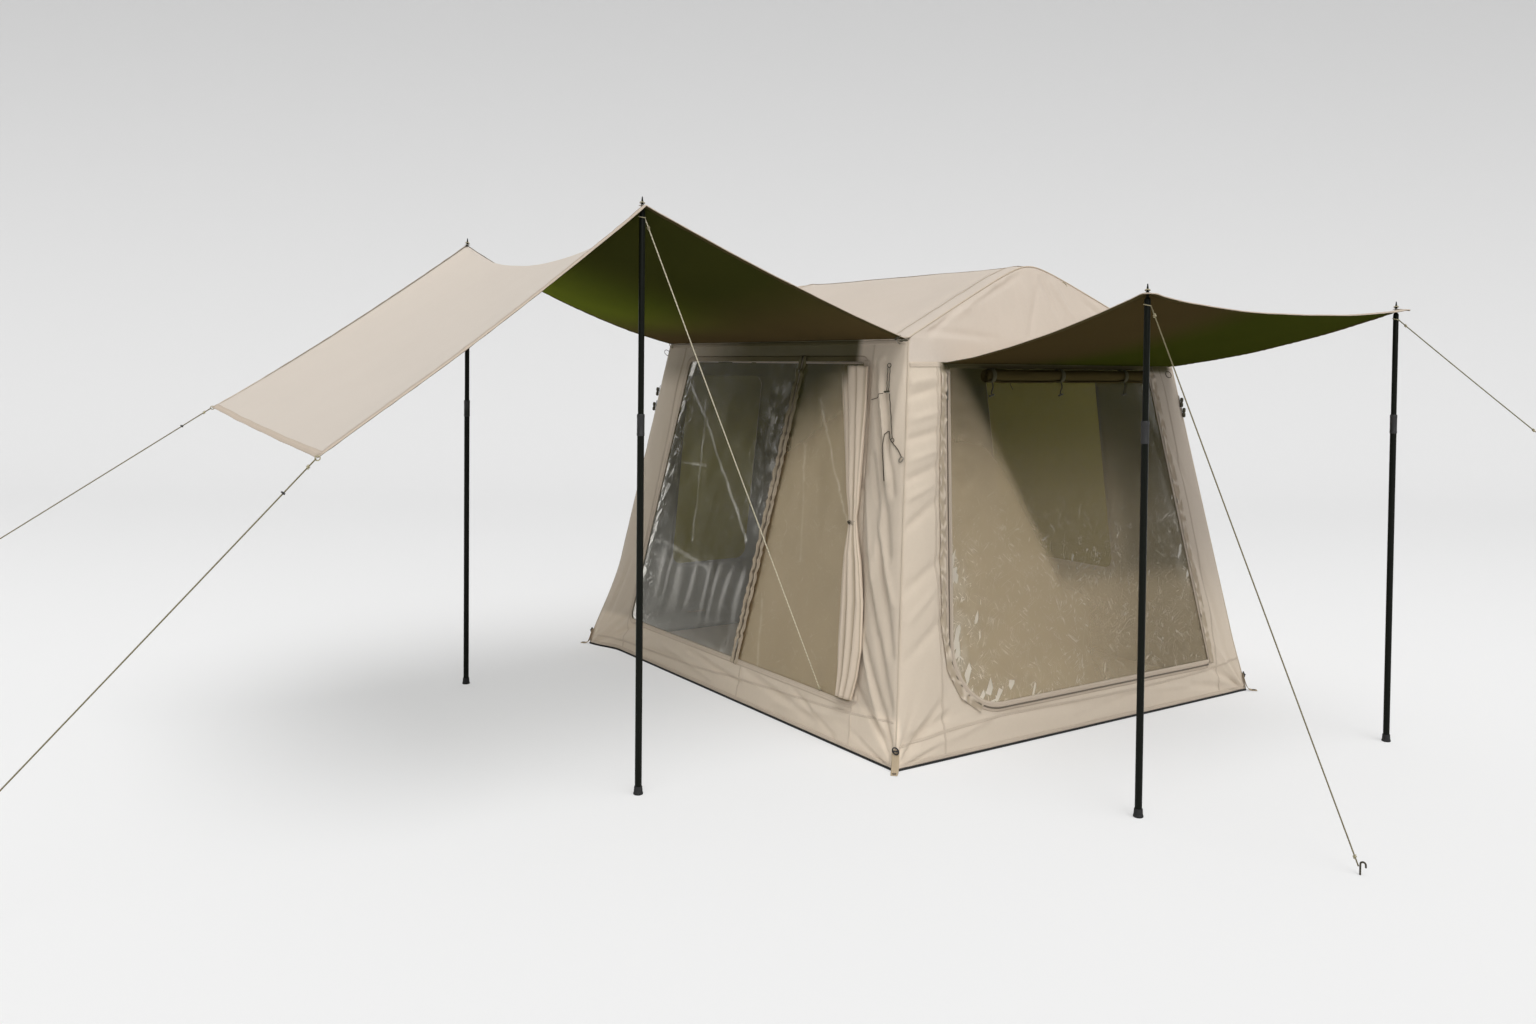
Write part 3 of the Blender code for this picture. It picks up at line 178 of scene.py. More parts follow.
def newGroup(name, inputs, outputs):
    # a number makes a value input, three numbers or None a vector input
    group = bpy.data.node_groups.new(name, "ShaderNodeTree")
    for key, value in inputs.items():
        kind = "NodeSocketFloat" if isinstance(value, float) else "NodeSocketVector"
        socket = group.interface.new_socket(name=key, in_out="INPUT", socket_type=kind)
        if value is not None:
            socket.default_value = value
    for key in outputs:
        group.interface.new_socket(name=key, in_out="OUTPUT", socket_type="NodeSocketFloat")
    return group, addNode(group, "NodeGroupInput").outputs, addNode(group, "NodeGroupOutput")


def placeGroup(tree, group, inputs):
    return addNode(tree, "ShaderNodeGroup", inputs, node_tree=group).outputs


fullTurn = 6.2832


def sineAlong(tree, distance, pitch):
    # a wave that repeats every pitch metres
    turns = math2(tree, "DIVIDE", fullTurn, pitch)
    return math2(tree, "SINE", math2(tree, "MULTIPLY", distance, turns))


def makeWeaveGroup():
    group, given, outlet = newGroup(
        "clothWeave", {"Cloth UV": None, "Place": None, "Thread": 0.0009, "Mottle": 0.06},
        ("Shade", "Height"))
    split = splitNode(group, given["Cloth UV"])
    warp = sineAlong(group, split[0], given["Thread"])
    weft = sineAlong(group, split[1], given["Thread"])
    broad = noiseNode(group, given["Place"], Scale=2.2, Detail=4)
    fine = noiseNode(group, given["Place"], Scale=90, Detail=2)
    low = math2(group, "SUBTRACT", broad, 0.5)
    high = math2(group, "MULTIPLY", math2(group, "SUBTRACT", fine, 0.5), 0.5)
    both = math2(group, "MULTIPLY", math2(group, "ADD", low, high), given["Mottle"])
    shade = math2(group, "ADD", math2(group, "MULTIPLY", both, 2.0), 1.0)
    feed(outlet, {"Shade": shade, "Height": math2(group, "MULTIPLY", warp, weft)})
    return group


def makeCreaseGroup():
    group, given, outlet = newGroup(
        "softCreases", {"Place": None, "Scale": 9.0, "Stretch": (1, 1, 1)}, ("Height",))
    scaled = addNode(
        group, "ShaderNodeVectorMath", {0: given["Place"], 1: given["Stretch"]}, operation="MULTIPLY")
    ridges = noiseNode(group, scaled.outputs[0], Scale=given["Scale"], Detail=5, Distortion=0.6)
    centred = math2(group, "ABSOLUTE", math2(group, "SUBTRACT", ridges, 0.5))
    feed(outlet, {"Height": math2(group, "MULTIPLY", centred, 2.0)})
    return group


def makeStitchGroup():
    # two rows of thread along V, with U the distance across in metres
    threadHalf = 0.0005
    group, given, outlet = newGroup(
        "stitchRows", {"Cloth UV": None, "Spread": 0.004, "Pitch": 0.004}, ("Thread",))
    split = splitNode(group, given["Cloth UV"])
    away = math2(group, "ABSOLUTE", split[0])
    offRow = math2(group, "ABSOLUTE", math2(group, "SUBTRACT", away, given["Spread"]))
    row = math2(group, "LESS_THAN", offRow, threadHalf)
    on = math2(group, "GREATER_THAN", sineAlong(group, split[1], given["Pitch"]), -0.5)
    feed(outlet, {"Thread": math2(group, "MULTIPLY", row, on)})
    return group


def makeShadeGroup():
    # masks on the walls for painted light and shade: painted shadow where the awnings hang over the walls'
    # heads, painted shade on the gable side's right edge, and painted light along the foot of the door side
    group, given, outlet = newGroup("paintedWallShadeAndLight", {"Place": None}, ("Shade", "Dusk", "PaintedSkirtLight"))
    split = splitNode(group, given["Place"])

    def both(*parts):
        # each part: axis, low, high and the values there
        total = None
        for axis, *ends in parts:
            step = ramp(group, split[axis], *ends)
            total = step if total is None else math2(group, "MULTIPLY", total, step)
        return total

    # painted shadow of the awnings over the heads of the door side and the gable side
    west = both((0, -0.77, -0.79), (1, -0.735, -0.675), (1, 1.02, 0.1, 0.42, 1.0), (2, 1.44, 1.58))
    south = both((1, -1.01, -1.02), (0, -0.71, -0.66), (0, 0.84, 0.80), (2, 1.550, 1.575), (2, 1.625, 1.605))
    # painted shade on the gable side's right edge
    right = both((1, -1.03, -1.04), (0, 0.60, 0.66), (2, 0.25, 0.85), (2, 1.60, 1.58))
    # painted light on the door side's skirt
    skirt = both((0, -1.065, -1.095), (2, 0.21, 0.17))
    feed(outlet, {"Shade": math2(group, "MAXIMUM", west, south), "Dusk": right, "PaintedSkirtLight": skirt})
    return group


def makeCrinkleGroup():
    # painted highlights: short bright strokes and small flats, as light catches creases in clear vinyl
    group, given, outlet = newGroup("filmCrinkles", {"Sheet UV": None, "Width": 0.02}, ("Lines", "Cells"))

    def laid(degrees, size, location=(0, 0, 0)):
        return addNode(group, "ShaderNodeMapping", {
            "Rotation": (0, 0, math.radians(degrees)), "Scale": size, "Location": location,
            "Vector": given["Sheet UV"],
        }, vector_type="TEXTURE").outputs[0]

    def flatNoise(vector, scale, detail):
        return addNode(
            group, "ShaderNodeTexNoise", {"Vector": vector, "Scale": scale, "Detail": detail},
            noise_dimensions="2D").outputs["Fac"]

    total = None
    for i, (angle, along, across) in enumerate(((24, 5, 38), (-38, 6, 46), (68, 5, 34), (-72, 7, 52))):
        ridges = flatNoise(laid(angle, (1 / along, 1 / across, 1), (3.1 * i, 1.7 * i, 0)), 1.0, 1.2)
        away = math2(group, "ABSOLUTE", math2(group, "SUBTRACT", ridges, 0.5))
        thin = ramp(group, away, 0.0, given["Width"], 1.0, 0.0)
        broken = ramp(group, flatNoise(given["Sheet UV"], 11 + 3 * i, 3), 0.48, 0.64)
        stroke = math2(group, "MULTIPLY", thin, broken)
        total = stroke if total is None else math2(group, "MAXIMUM", total, stroke)
    cells = addNode(group, "ShaderNodeTexVoronoi", {
        "Scale": 1.0, "Vector": laid(62, (0.068, 0.022, 1)),
    }, voronoi_dimensions="2D")
    chance = addNode(group, "ShaderNodeSeparateColor", {0: cells.outputs["Color"]})
    feed(outlet, {"Lines": total, "Cells": chance.outputs[0]})
    return group


weaveGroup = makeWeaveGroup()
creaseGroup = makeCreaseGroup()
stitchGroup = makeStitchGroup()
shadeGroup = makeShadeGroup()
crinkleGroup = makeCrinkleGroup()


def newMaterial(name):
    made = bpy.data.materials.new(name)
    made.use_nodes = True
    tree = made.node_tree
    return made, tree, tree.nodes["Principled BSDF"], addNode(tree, "ShaderNodeTexCoord").outputs


# painted shade and light: how far each wall mask darkens or lightens the cloth's colour
shadeAndLightTints = {"Dusk": (0.71, 0.71, 0.73), "PaintedSkirtLight": (1.24, 1.24, 1.24), "Shade": (0.13, 0.13, 0.065)}
gatherTint = (0.66, 0.63, 0.57)


# paints the awnings' shadows, the shaded edge and the skirt's light into a colour
def paintedShadeAndLight(tree, coords, colour):
    lap = placeGroup(tree, shadeGroup, {"Place": coords["Object"]})
    mixed = colour
    for mask, tint in shadeAndLightTints.items():
        mixed = mixColour(tree, lap[mask], mixed, tuple(c * k for c, k in zip(colour, tint)))
    return mixed


def gatherShade(tree, coords, colour):
    # dust and shade down in the gathers
    gather = addNode(tree, "ShaderNodeAttribute", attribute_name="gather")
    deep = mixColour(tree, gather.outputs["Fac"], (1.0, 1.0, 1.0), gatherTint)
    return mixColour(tree, 1.0, paintedShadeAndLight(tree, coords, colour), deep, "MULTIPLY")


def byPlace(*ramps):
    # a colour that turns into others by place: axis, where it begins, where it ends, the other colour
    def build(tree, coords, colour):
        split = splitNode(tree, coords["Object"])
        for axis, low, high, other in ramps:
            colour = mixColour(tree, ramp(tree, split[axis], low, high), colour, other)
        return colour
    return build


clothLook = {
    "thread": 0.0011, "mottle": 0.05, "creaseScale": 7.0, "creaseStrength": 0.25, "creaseDepth": 0.004,
    "weaveStrength": 0.35, "weaveDepth": 0.0002, "roughness": 0.82, "sheen": 0.12, "sheenRoughness": 0.5,
    "specular": 0.25,
}


def clothMaterial(name, colour, deep=None, **changes):
    s = {**clothLook, **changes}
    made, tree, shader, coords = newMaterial(name)
    weave = placeGroup(tree, weaveGroup, {
        "Cloth UV": coords["UV"], "Place": coords["Object"], "Thread": s["thread"], "Mottle": s["mottle"],
    })
    folds = placeGroup(tree, creaseGroup, {"Place": coords["Object"], "Scale": s["creaseScale"]})
    base = deep(tree, coords, colour) if deep else colour
    tinted = addNode(tree, "ShaderNodeVectorMath", {0: base, "Scale": weave["Shade"]}, operation="SCALE")
    soft = bump(tree, folds["Height"], s["creaseStrength"], s["creaseDepth"])
    feed(shader, {
        "Base Color": tinted.outputs[0],
        "Normal": bump(tree, weave["Height"], s["weaveStrength"], s["weaveDepth"], soft),
        "Roughness": s["roughness"], "Sheen Weight": s["sheen"], "Sheen Roughness": s["sheenRoughness"],
        "Specular IOR Level": s["specular"],
    })
    return made


dull = {"specular": 0.0, "sheen": 0.0}
lining = {**dull, "mottle": 0.10, "creaseScale": 6.0, "creaseStrength": 0.3, "roughness": 0.8}

sandCloth = clothMaterial("sandCloth", (0.650, 0.555, 0.445), paintedShadeAndLight)
curtainCloth = clothMaterial("curtainCloth", (0.720, 0.605, 0.480), gatherShade)
rucheCloth = clothMaterial("rucheCloth", (0.650, 0.555, 0.445), gatherShade, creaseScale=30.0)
# the walls' cloth, given a darker, greyer colour on the roof and gables to offset the stronger light there:
# painted shade
roofCloth = clothMaterial("roofCloth", (0.615, 0.535, 0.455))
# the rolled cover's olive-brown cloth, darkened far below the cover's colours as painted shade under the
# south awning
rollCloth = clothMaterial("rollCloth", (0.052, 0.040, 0.015), creaseScale=22.0, creaseDepth=0.003, **dull)
hemCloth = clothMaterial("hemCloth", (0.58, 0.49, 0.385), creaseScale=30.0, creaseDepth=0.002)
awningTop = clothMaterial(
    "awningTop", (0.650, 0.578, 0.500), mottle=0.03, creaseScale=3.0, creaseStrength=0.12, roughness=0.72,
    specular=0.35)
awningUnderWest = clothMaterial(
    "awningUnderWest", (0.115, 0.140, 0.016),
    byPlace((1, 0.55, -0.6, (0.034, 0.036, 0.008)), (0, -1.6, -0.95, (0.082, 0.058, 0.024))), **lining)
awningUnderSouth = clothMaterial(
    "awningUnderSouth", (0.037, 0.043, 0.006), byPlace((0, 0.12, -0.35, (0.055, 0.039, 0.015))), **lining)
awningHemUnder = clothMaterial("awningHemUnder", (0.070, 0.055, 0.024), **dull)
insideFloor = clothMaterial("insideFloor", (0.72, 0.62, 0.46), roughness=0.55, specular=0.4)
groundBlack = clothMaterial("groundBlack", (0.018, 0.018, 0.018), roughness=0.5, sheen=0.0)
# painted light and shade on the inside of the walls: lit low down, painted shade higher up and towards the
# south and north ends
insideCloth = clothMaterial(
    "insideCloth", (0.74, 0.65, 0.50),
    byPlace(
        (1, -0.45, -0.75, (0.42, 0.38, 0.27)), (1, 0.60, 0.95, (0.38, 0.38, 0.34)),
        (2, 0.45, 1.25, (0.13, 0.12, 0.05))), specular=0.0)
insideRoof = clothMaterial("insideRoof", (0.12, 0.11, 0.045), **dull)
# the covers' olive inner face; the north cover darkens towards the top as painted shade, the east cover takes
# a deeper olive without it
greenInside = clothMaterial(
    "coverInside", (0.36, 0.33, 0.135),
    byPlace((2, 0.95, 1.5, (0.19, 0.175, 0.075)), (0, 0.6, 0.8, (0.37, 0.33, 0.10))), mottle=0.08, **dull)
coverCloth = clothMaterial("coverCloth", (0.60, 0.52, 0.42), mottle=0.06)
bladderCloth = clothMaterial("bladderCloth", (0.33, 0.31, 0.27), thread=0.0007, roughness=0.6)
darkWeb = clothMaterial("darkWeb", (0.060, 0.055, 0.030), thread=0.0022, specular=0.1, sheen=0.0)
webbing = clothMaterial("webbing", (0.47, 0.39, 0.30), thread=0.0022, weaveStrength=0.8, creaseStrength=0.05)

seamLook = {
    "creaseScale": 40.0, "foldStrength": 0.3, "foldDepth": 0.002, "stitchStrength": 0.8,
    "stitchDepth": 0.0006,
    "roughness": 0.85, "specular": 0.2,
}


def seamMaterial(name, colour, thread, deep=paintedShadeAndLight):
    s = seamLook
    made, tree, shader, coords = newMaterial(name)
    base = deep(tree, coords, colour)
    stitches = placeGroup(tree, stitchGroup, {"Cloth UV": coords["UV"]})["Thread"]
    folds = placeGroup(tree, creaseGroup, {"Place": coords["Object"], "Scale": s["creaseScale"]})
    lit = mixColour(tree, stitches, colour, thread)
    # the painted shade and light from deep, as a share of the plain colour
    paler = addNode(tree, "ShaderNodeVectorMath", {0: base, 1: colour}, operation="DIVIDE")
    soft = bump(tree, folds["Height"], s["foldStrength"], s["foldDepth"])
    feed(shader, {
        "Base Color": mixColour(tree, 1.0, lit, paler.outputs[0], "MULTIPLY"),
        "Normal": bump(tree, stitches, s["stitchStrength"], s["stitchDepth"], soft),
        "Roughness": s["roughness"], "Specular IOR Level": s["specular"],
    })
    return made


sandSeam = seamMaterial("sandSeam", (0.565, 0.475, 0.380), (0.70, 0.61, 0.50))
# zip tape, darker towards its head as painted shade under the awning
brownTape = seamMaterial(
    "brownTape", (0.56, 0.46, 0.34), (0.66, 0.56, 0.44), byPlace((2, 0.95, 1.55, (0.085, 0.073, 0.033))))
strapWeb = seamMaterial("strapWeb", (0.40, 0.32, 0.22), (0.30, 0.24, 0.17))
sandTape = seamMaterial("sandTape", (0.52, 0.43, 0.34), (0.66, 0.57, 0.47))
awningSeam = seamMaterial("awningSeam", (0.56, 0.47, 0.38), (0.66, 0.58, 0.49))


def zipMaterial(name, colour, s):
    # teeth across the chain, V running along it in metres
    made, tree, shader, coords = newMaterial(name)
    along = math2(tree, "MULTIPLY", splitNode(tree, coords["UV"])[1], s["teeth"])
    wave = math2(tree, "SINE", along)
    teeth = math2(tree, "MULTIPLY_ADD", wave, 0.5, 0.5)
    dark = tuple(c * s["gap"] for c in colour)
    feed(shader, {
        "Normal": bump(tree, wave, s["strength"], s["depth"]),
        "Base Color": mixColour(tree, teeth, dark, colour), "Roughness": s["roughness"],
    })
    return made


zipTeeth = zipMaterial("zipTeeth", (0.30, 0.24, 0.17), {
    "teeth": 2100.0, "gap": 0.35, "strength": 0.9, "depth": 0.0010, "roughness": 0.45,
})


def filmMaterial(name, s):
    # clear vinyl: mirrors as much as its angle asks, and lets the rest through
    made, tree, shader, coords = newMaterial(name)
    ripples = placeGroup(tree, creaseGroup, {
        "Place": coords["Object"], "Scale": s["rippleScale"], "Stretch": s["stretch"],
    })
    normal = bump(tree, ripples["Height"], s["rippleStrength"], s["rippleDepth"])
    facing = addNode(tree, "ShaderNodeLayerWeight", {"Blend": 0.5, "Normal": normal})
    slant = math2(tree, "POWER", facing.outputs["Facing"], s["slantPower"])
    haze, milk, veil = (addNode(tree, "ShaderNodeAttribute", attribute_name=key).outputs["Fac"]
                        for key in ("haze", "milk", "veil"))
    crinkles = placeGroup(tree, crinkleGroup, {"Sheet UV": coords["UV"], "Width": s["crinkleWidth"]})
    # painted highlights: bright crinkle strokes and flats where the sheet is creased
    lines = math2(tree, "MULTIPLY", math2(tree, "MULTIPLY", crinkles["Lines"], haze), s["crush"])
    tall = math2(tree, "SUBTRACT", haze, s["flatsFrom"])
    lucky = math2(tree, "GREATER_THAN", math2(tree, "MULTIPLY", tall, s["flatsShare"]), crinkles["Cells"])
    glint = math2(tree, "MULTIPLY_ADD", veil, s["glintOnPaintedLight"], s["glintLeast"])
    flats = math2(tree, "MULTIPLY", lucky, math2(tree, "MULTIPLY", glint, s["flats"]))
    mirror = math2(tree, "ADD", math2(tree, "MULTIPLY", slant, s["gloss"]), s["clear"])
    # milky whiteness of creased vinyl together with painted reflections and glints
    milkAndGlintShown = math2(tree, "MULTIPLY", milk, s["milkAndGlintAmount"])
    bright = math2(tree, "MAXIMUM", lines, flats)
    white = math2(tree, "ADD", math2(tree, "ADD", mirror, bright), milkAndGlintShown, clampIt=True)
    # painted light: a beige patch standing for the lit inside seen through the sheet
    tinted = math2(tree, "MULTIPLY", veil, s["veil"])
    total = math2(tree, "ADD", white, tinted, clampIt=True)
    share = math2(tree, "DIVIDE", tinted, total, clampIt=True)
    feed(shader, {
        "Normal": normal, "Alpha": total, "Base Color": mixColour(tree, share, s["tint"], s["paintedLightTint"]),
        "Roughness": ramp(tree, share, 0.0, 1.0, s["roughness"], s["paintedLightRoughness"], "LINEAR"),
        "Metallic": 1.0,
    })
    return made


clearFilm = filmMaterial("clearFilm", {
    "rippleScale": 5.0, "stretch": (1, 1, 0.6), "rippleStrength": 0.35, "rippleDepth": 0.002,
    "slantPower": 5.0,
    "gloss": 0.50, "clear": 0.006, "crinkleWidth": 0.014, "crush": 0.62, "milkAndGlintAmount": 0.10, "flatsFrom": 0.42,
    "flatsShare": 0.62, "flats": 0.85, "glintOnPaintedLight": 0.55, "glintLeast": 0.40, "veil": 0.45, "roughness": 0.10,
    "paintedLightRoughness": 0.55, "paintedLightTint": (0.80, 0.66, 0.45), "tint": (0.96, 0.93, 0.86),
})


def hardMaterial(name, colour, roughness, metallic, specular, grain, depth):
    made, tree, shader, coords = newMaterial(name)
    speckle = noiseNode(tree, coords["Object"], Scale=grain, Detail=4)
    worn = tuple(min(1, c * 1.35 + 0.004) for c in colour)
    feed(shader, {
        "Roughness": ramp(tree, speckle, 0.0, 1.0, roughness * 0.8, min(1.0, roughness * 1.25), "LINEAR"),
        "Base Color": mixColour(tree, speckle, colour, worn), "Normal": bump(tree, speckle, 0.25, depth),
        "Metallic": metallic, "Specular IOR Level": specular,
    })
    return made


# colour, roughness, metallic, specular, and the fineness and depth of the grain
pegSteel = hardMaterial("pegSteel", (0.060, 0.052, 0.036), 0.45, 0.6, 0.4, 90, 0.0002)
poleBlack = hardMaterial("poleBlack", (0.004, 0.005, 0.003), 0.34, 0.0, 0.10, 120, 0.0001)
plasticBlack = hardMaterial("plasticBlack", (0.016, 0.016, 0.016), 0.5, 0.0, 0.45, 300, 0.0002)
rubberBlack = hardMaterial("rubberBlack", (0.018, 0.018, 0.018), 0.75, 0.0, 0.3, 300, 0.0003)
darkSteel = hardMaterial("darkSteel", (0.28, 0.26, 0.22), 0.38, 1.0, 0.5, 200, 0.0001)
oliveToggle = hardMaterial("oliveToggle", (0.045, 0.04, 0.022), 0.55, 0.0, 0.4, 200, 0.0003)


def cordMaterial(name, colour, dark):
    made, tree, shader, coords = newMaterial(name)
    strands = addNode(tree, "ShaderNodeTexWave", {
        "Scale": 110, "Distortion": 1.5, "Detail": 2, "Vector": coords["Object"],
    }, wave_type="BANDS", bands_direction="DIAGONAL").outputs["Fac"]
    feed(shader, {
        "Base Color": mixColour(tree, strands, dark, colour), "Normal": bump(tree, strands, 0.6, 0.0005),
        "Roughness": 0.9, "Specular IOR Level": 0.2,
    })
    return made


sandCord = cordMaterial("sandCord", (0.52, 0.47, 0.31), (0.33, 0.29, 0.18))
# the same guy cord, cream on the west guy and olive on the others: painted light and shade
creamCord = cordMaterial("creamCord", (0.78, 0.72, 0.55), (0.50, 0.45, 0.32))
oliveCord = cordMaterial("oliveCord", (0.25, 0.22, 0.13), (0.14, 0.12, 0.07))
darkCord = cordMaterial("darkCord", (0.10, 0.085, 0.06), (0.05, 0.04, 0.03))
print("materials made")

# making and placing pieces


def addPiece(name, data, slot, body="tent"):
    piece = addObject(name, data)
    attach(piece, body)
    return piece


def finishMesh(name, shape, materials, slot, body="tent", sharp=50, turnOut=True):
    if turnOut:
        bmesh.ops.recalc_face_normals(shape, faces=shape.faces)
    mesh = bpy.data.meshes.new(name)
    shape.to_mesh(mesh)
    shape.free()
    mesh.shade_smooth()
    mesh.set_sharp_from_angle(angle=math.radians(sharp))
    for material in materials:
        mesh.materials.append(material)
    return addPiece(name, mesh, slot, body)


def solid(piece, thickness, offset, inner, rim):
    # inner and rim: which material the sheet's back and edge take, as a step from the front's
    shell = piece.modifiers.new("thickness", "SOLIDIFY")
    shell.thickness = thickness
    shell.offset = offset
    shell.use_even_offset = True
    shell.material_offset = inner
    shell.material_offset_rim = rim


def clothGrid(name, across, along, place, materials, uv, thickness, slot="sand_cloth", ring=False,
    offset=-1.0,
              inner=0, rim=0, masks=None):
    # a sheet whose point for s and t (0 to 1) is given by place, with UV in metres
    shape = bmesh.new()
    bmesh.ops.create_grid(shape, x_segments=across, y_segments=along, size=0.5)
    layer = shape.loops.layers.uv.new("clothUV")
    layers = {key: shape.verts.layers.float.new(key) for key in (masks or {})}
    spots = {}
    for vert in shape.verts:
        s, t = vert.co.x + 0.5, vert.co.y + 0.5
        spots[vert.index] = (s, t)
        for key, mask in layers.items():
            vert[mask] = masks[key](s, t)
        vert.co = place(s, t)
    for face in shape.faces:
        for loop in face.loops:
            s, t = spots[loop.vert.index]
            loop[layer].uv = uv(s, t)
    if ring:
        bmesh.ops.remove_doubles(shape, verts=shape.verts, dist=1e-6)
    piece = finishMesh(name, shape, materials, slot, turnOut=False)
    solid(piece, thickness, offset, inner, rim)
    return piece


def turned(name, profile, material, body, matrix, segments, slot, closed=True):
    shape = bmesh.new()
    rim = [shape.verts.new((r, 0, z)) for r, z in profile]
    pairs = list(zip(rim, rim[1:]))
    if closed:
        pairs.append((rim[-1], rim[0]))
    edges = [shape.edges.new(pair) for pair in pairs]
    bmesh.ops.spin(
        shape, geom=rim + edges, axis=(0, 0, 1), cent=(0, 0, 0), angle=math.tau, steps=segments,
        use_merge=True)
    bmesh.ops.remove_doubles(shape, verts=shape.verts, dist=1e-6)
    bmesh.ops.transform(shape, matrix=matrix, verts=shape.verts)
    shape.verts.index_update()
    count = len(shape.verts)

    def order(face):
        a, b, c = sorted(vert.index for vert in face.verts)[:3]
        return (a * count + b) * count + c

    # spin lists its faces in an order that changes from run to run
    shape.faces.sort(key=order)
    return finishMesh(name, shape, [material], slot, body, sharp=35)


def cordCurve(name, points, radius, material, slot="sand_cord"):
    curve = bpy.data.curves.new(name, "CURVE")
    curve.dimensions = "3D"
    curve.bevel_depth = radius
    curve.bevel_resolution = 3
    curve.use_fill_caps = True
    spline = curve.splines.new("POLY")
    spline.points.add(len(points) - 1)
    for point, place in zip(spline.points, points):
        point.co = (*place, 1)
    spline.use_smooth = True
    curve.materials.append(material)
    return addPiece(name, curve, slot)


# the guys, along the routes of the solids

guySettings = {
    "radius": 0.0023,
    "sag": 0.002,
    "points": 24,
    "knotWire": 0.0019, "knotFrom": 0.035, "pegKnot": 0.03, "freeKnot": 0.012,  # knots, from the cord's ends
    "far": {"start": (-3.2242, 0.8599, 1.3687), "end": (-5.2646, 0.8301, 0.0255), "farEnd": "fitting"},
    "near": {"start": (-3.2234, -1.0098, 1.2748), "end": (-4.3796, -0.9304, 0.0255), "farEnd": "fitting"},
    "west": {"start": (-2.0665, -0.9771, 2.1050), "end": (-1.0960, -0.7650, 0.1955), "farEnd": "object"},
    "south": {"start": (-0.6963, -2.1333, 1.7950), "end": (-0.5084, -2.8128, 0.0255), "farEnd": "fitting"},
    "east": {"start": (0.9208, -2.1286, 1.7950), "end": (1.3600, -2.4800, 1.3300), "farEnd": "knot"},
}
guyNodes = {
    "far": "guy_flap_far", "near": "guy_flap_near", "west": "guy_pole_west",
    "south": "guy_pole_south", "east": "guy_pole_east",
}
guyPegs = {"far": "peg_flap_far", "near": "peg_flap_near", "south": "peg_south"}


def guyPoint(which, share):
    s = guySettings[which]
    point = Vector(s["start"]).lerp(Vector(s["end"]), share)
    point.z -= guySettings["sag"] * 4 * share * (1 - share)
    return point


def knotPoints(centre, way, size):
    # a cord wound twice round itself
    turns, count = 2.0, 26
    side = way.cross(Vector((0, 0, 1))).normalized()
    over = side.cross(way).normalized()
    points = []
    for i in range(count):
        share = i / (count - 1)
        turn = math.tau * turns * share
        out = side * math.cos(turn) + over * math.sin(turn)
        points.append(centre + out * size + way * (share - 0.5) * size * 2.4)
    return points


def makeGuys(s):
    for which, node in guyNodes.items():
        count = s["points"]
        points = [guyPoint(which, i / (count - 1)) for i in range(count)]
        # painted light and shade: the west guy cream, the others olive
        colour = creamCord if which == "west" else oliveCord
        guy = cordCurve("guy" + which.title(), points, s["radius"], colour)
        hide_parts(node)
        way = (points[-1] - points[0]).normalized()
        length = sum((b - a).length for a, b in zip(points, points[1:]))
        knot = cordCurve(
            f"guyKnot{which.title()}", knotPoints(points[0] + way * s["knotFrom"], way, 0.0045),
            s["knotWire"], sandCord)
        if which in guyPegs:
            knotAt = points[-1] - way * s["pegKnot"]
        else:
            knotAt = points[-1] - way * s["freeKnot"]
        knot = knotPoints(knotAt, way, 0.0042)
        cordCurve(f"guyEnd{which.title()}", knot, s["knotWire"], sandCord)
        tuple(points[0])


makeGuys(guySettings)
print("guys made")

# the leaning walls


def wallMatrix(side):
    right, inward, away = {
        "west": ((0, -1, 0), (1, 0, 0), tent["baseX"] / 2),
        "south": ((1, 0, 0), (0, 1, 0), tent["baseY"] / 2),
        "east": ((0, 1, 0), (-1, 0, 0), tent["baseX"] / 2),
        "north": ((-1, 0, 0), (0, -1, 0), tent["baseY"] / 2),
    }[side]
    right, inward = Vector(right), Vector(inward)
    up = (inward * tent["inset"] + Vector((0, 0, tent["eave"]))).normalized()
    turn = Matrix((right, up, right.cross(up))).transposed().to_4x4()
    return Matrix.Translation(-inward * away) @ turn


wallFrames = {side: wallMatrix(side) for side in ("west", "south", "east", "north")}


def halfWall(side, z):
    base = tent["baseY"] if side in ("west", "east") else tent["baseX"]
    return base / 2 - tent["inset"] * z / tent["eave"]


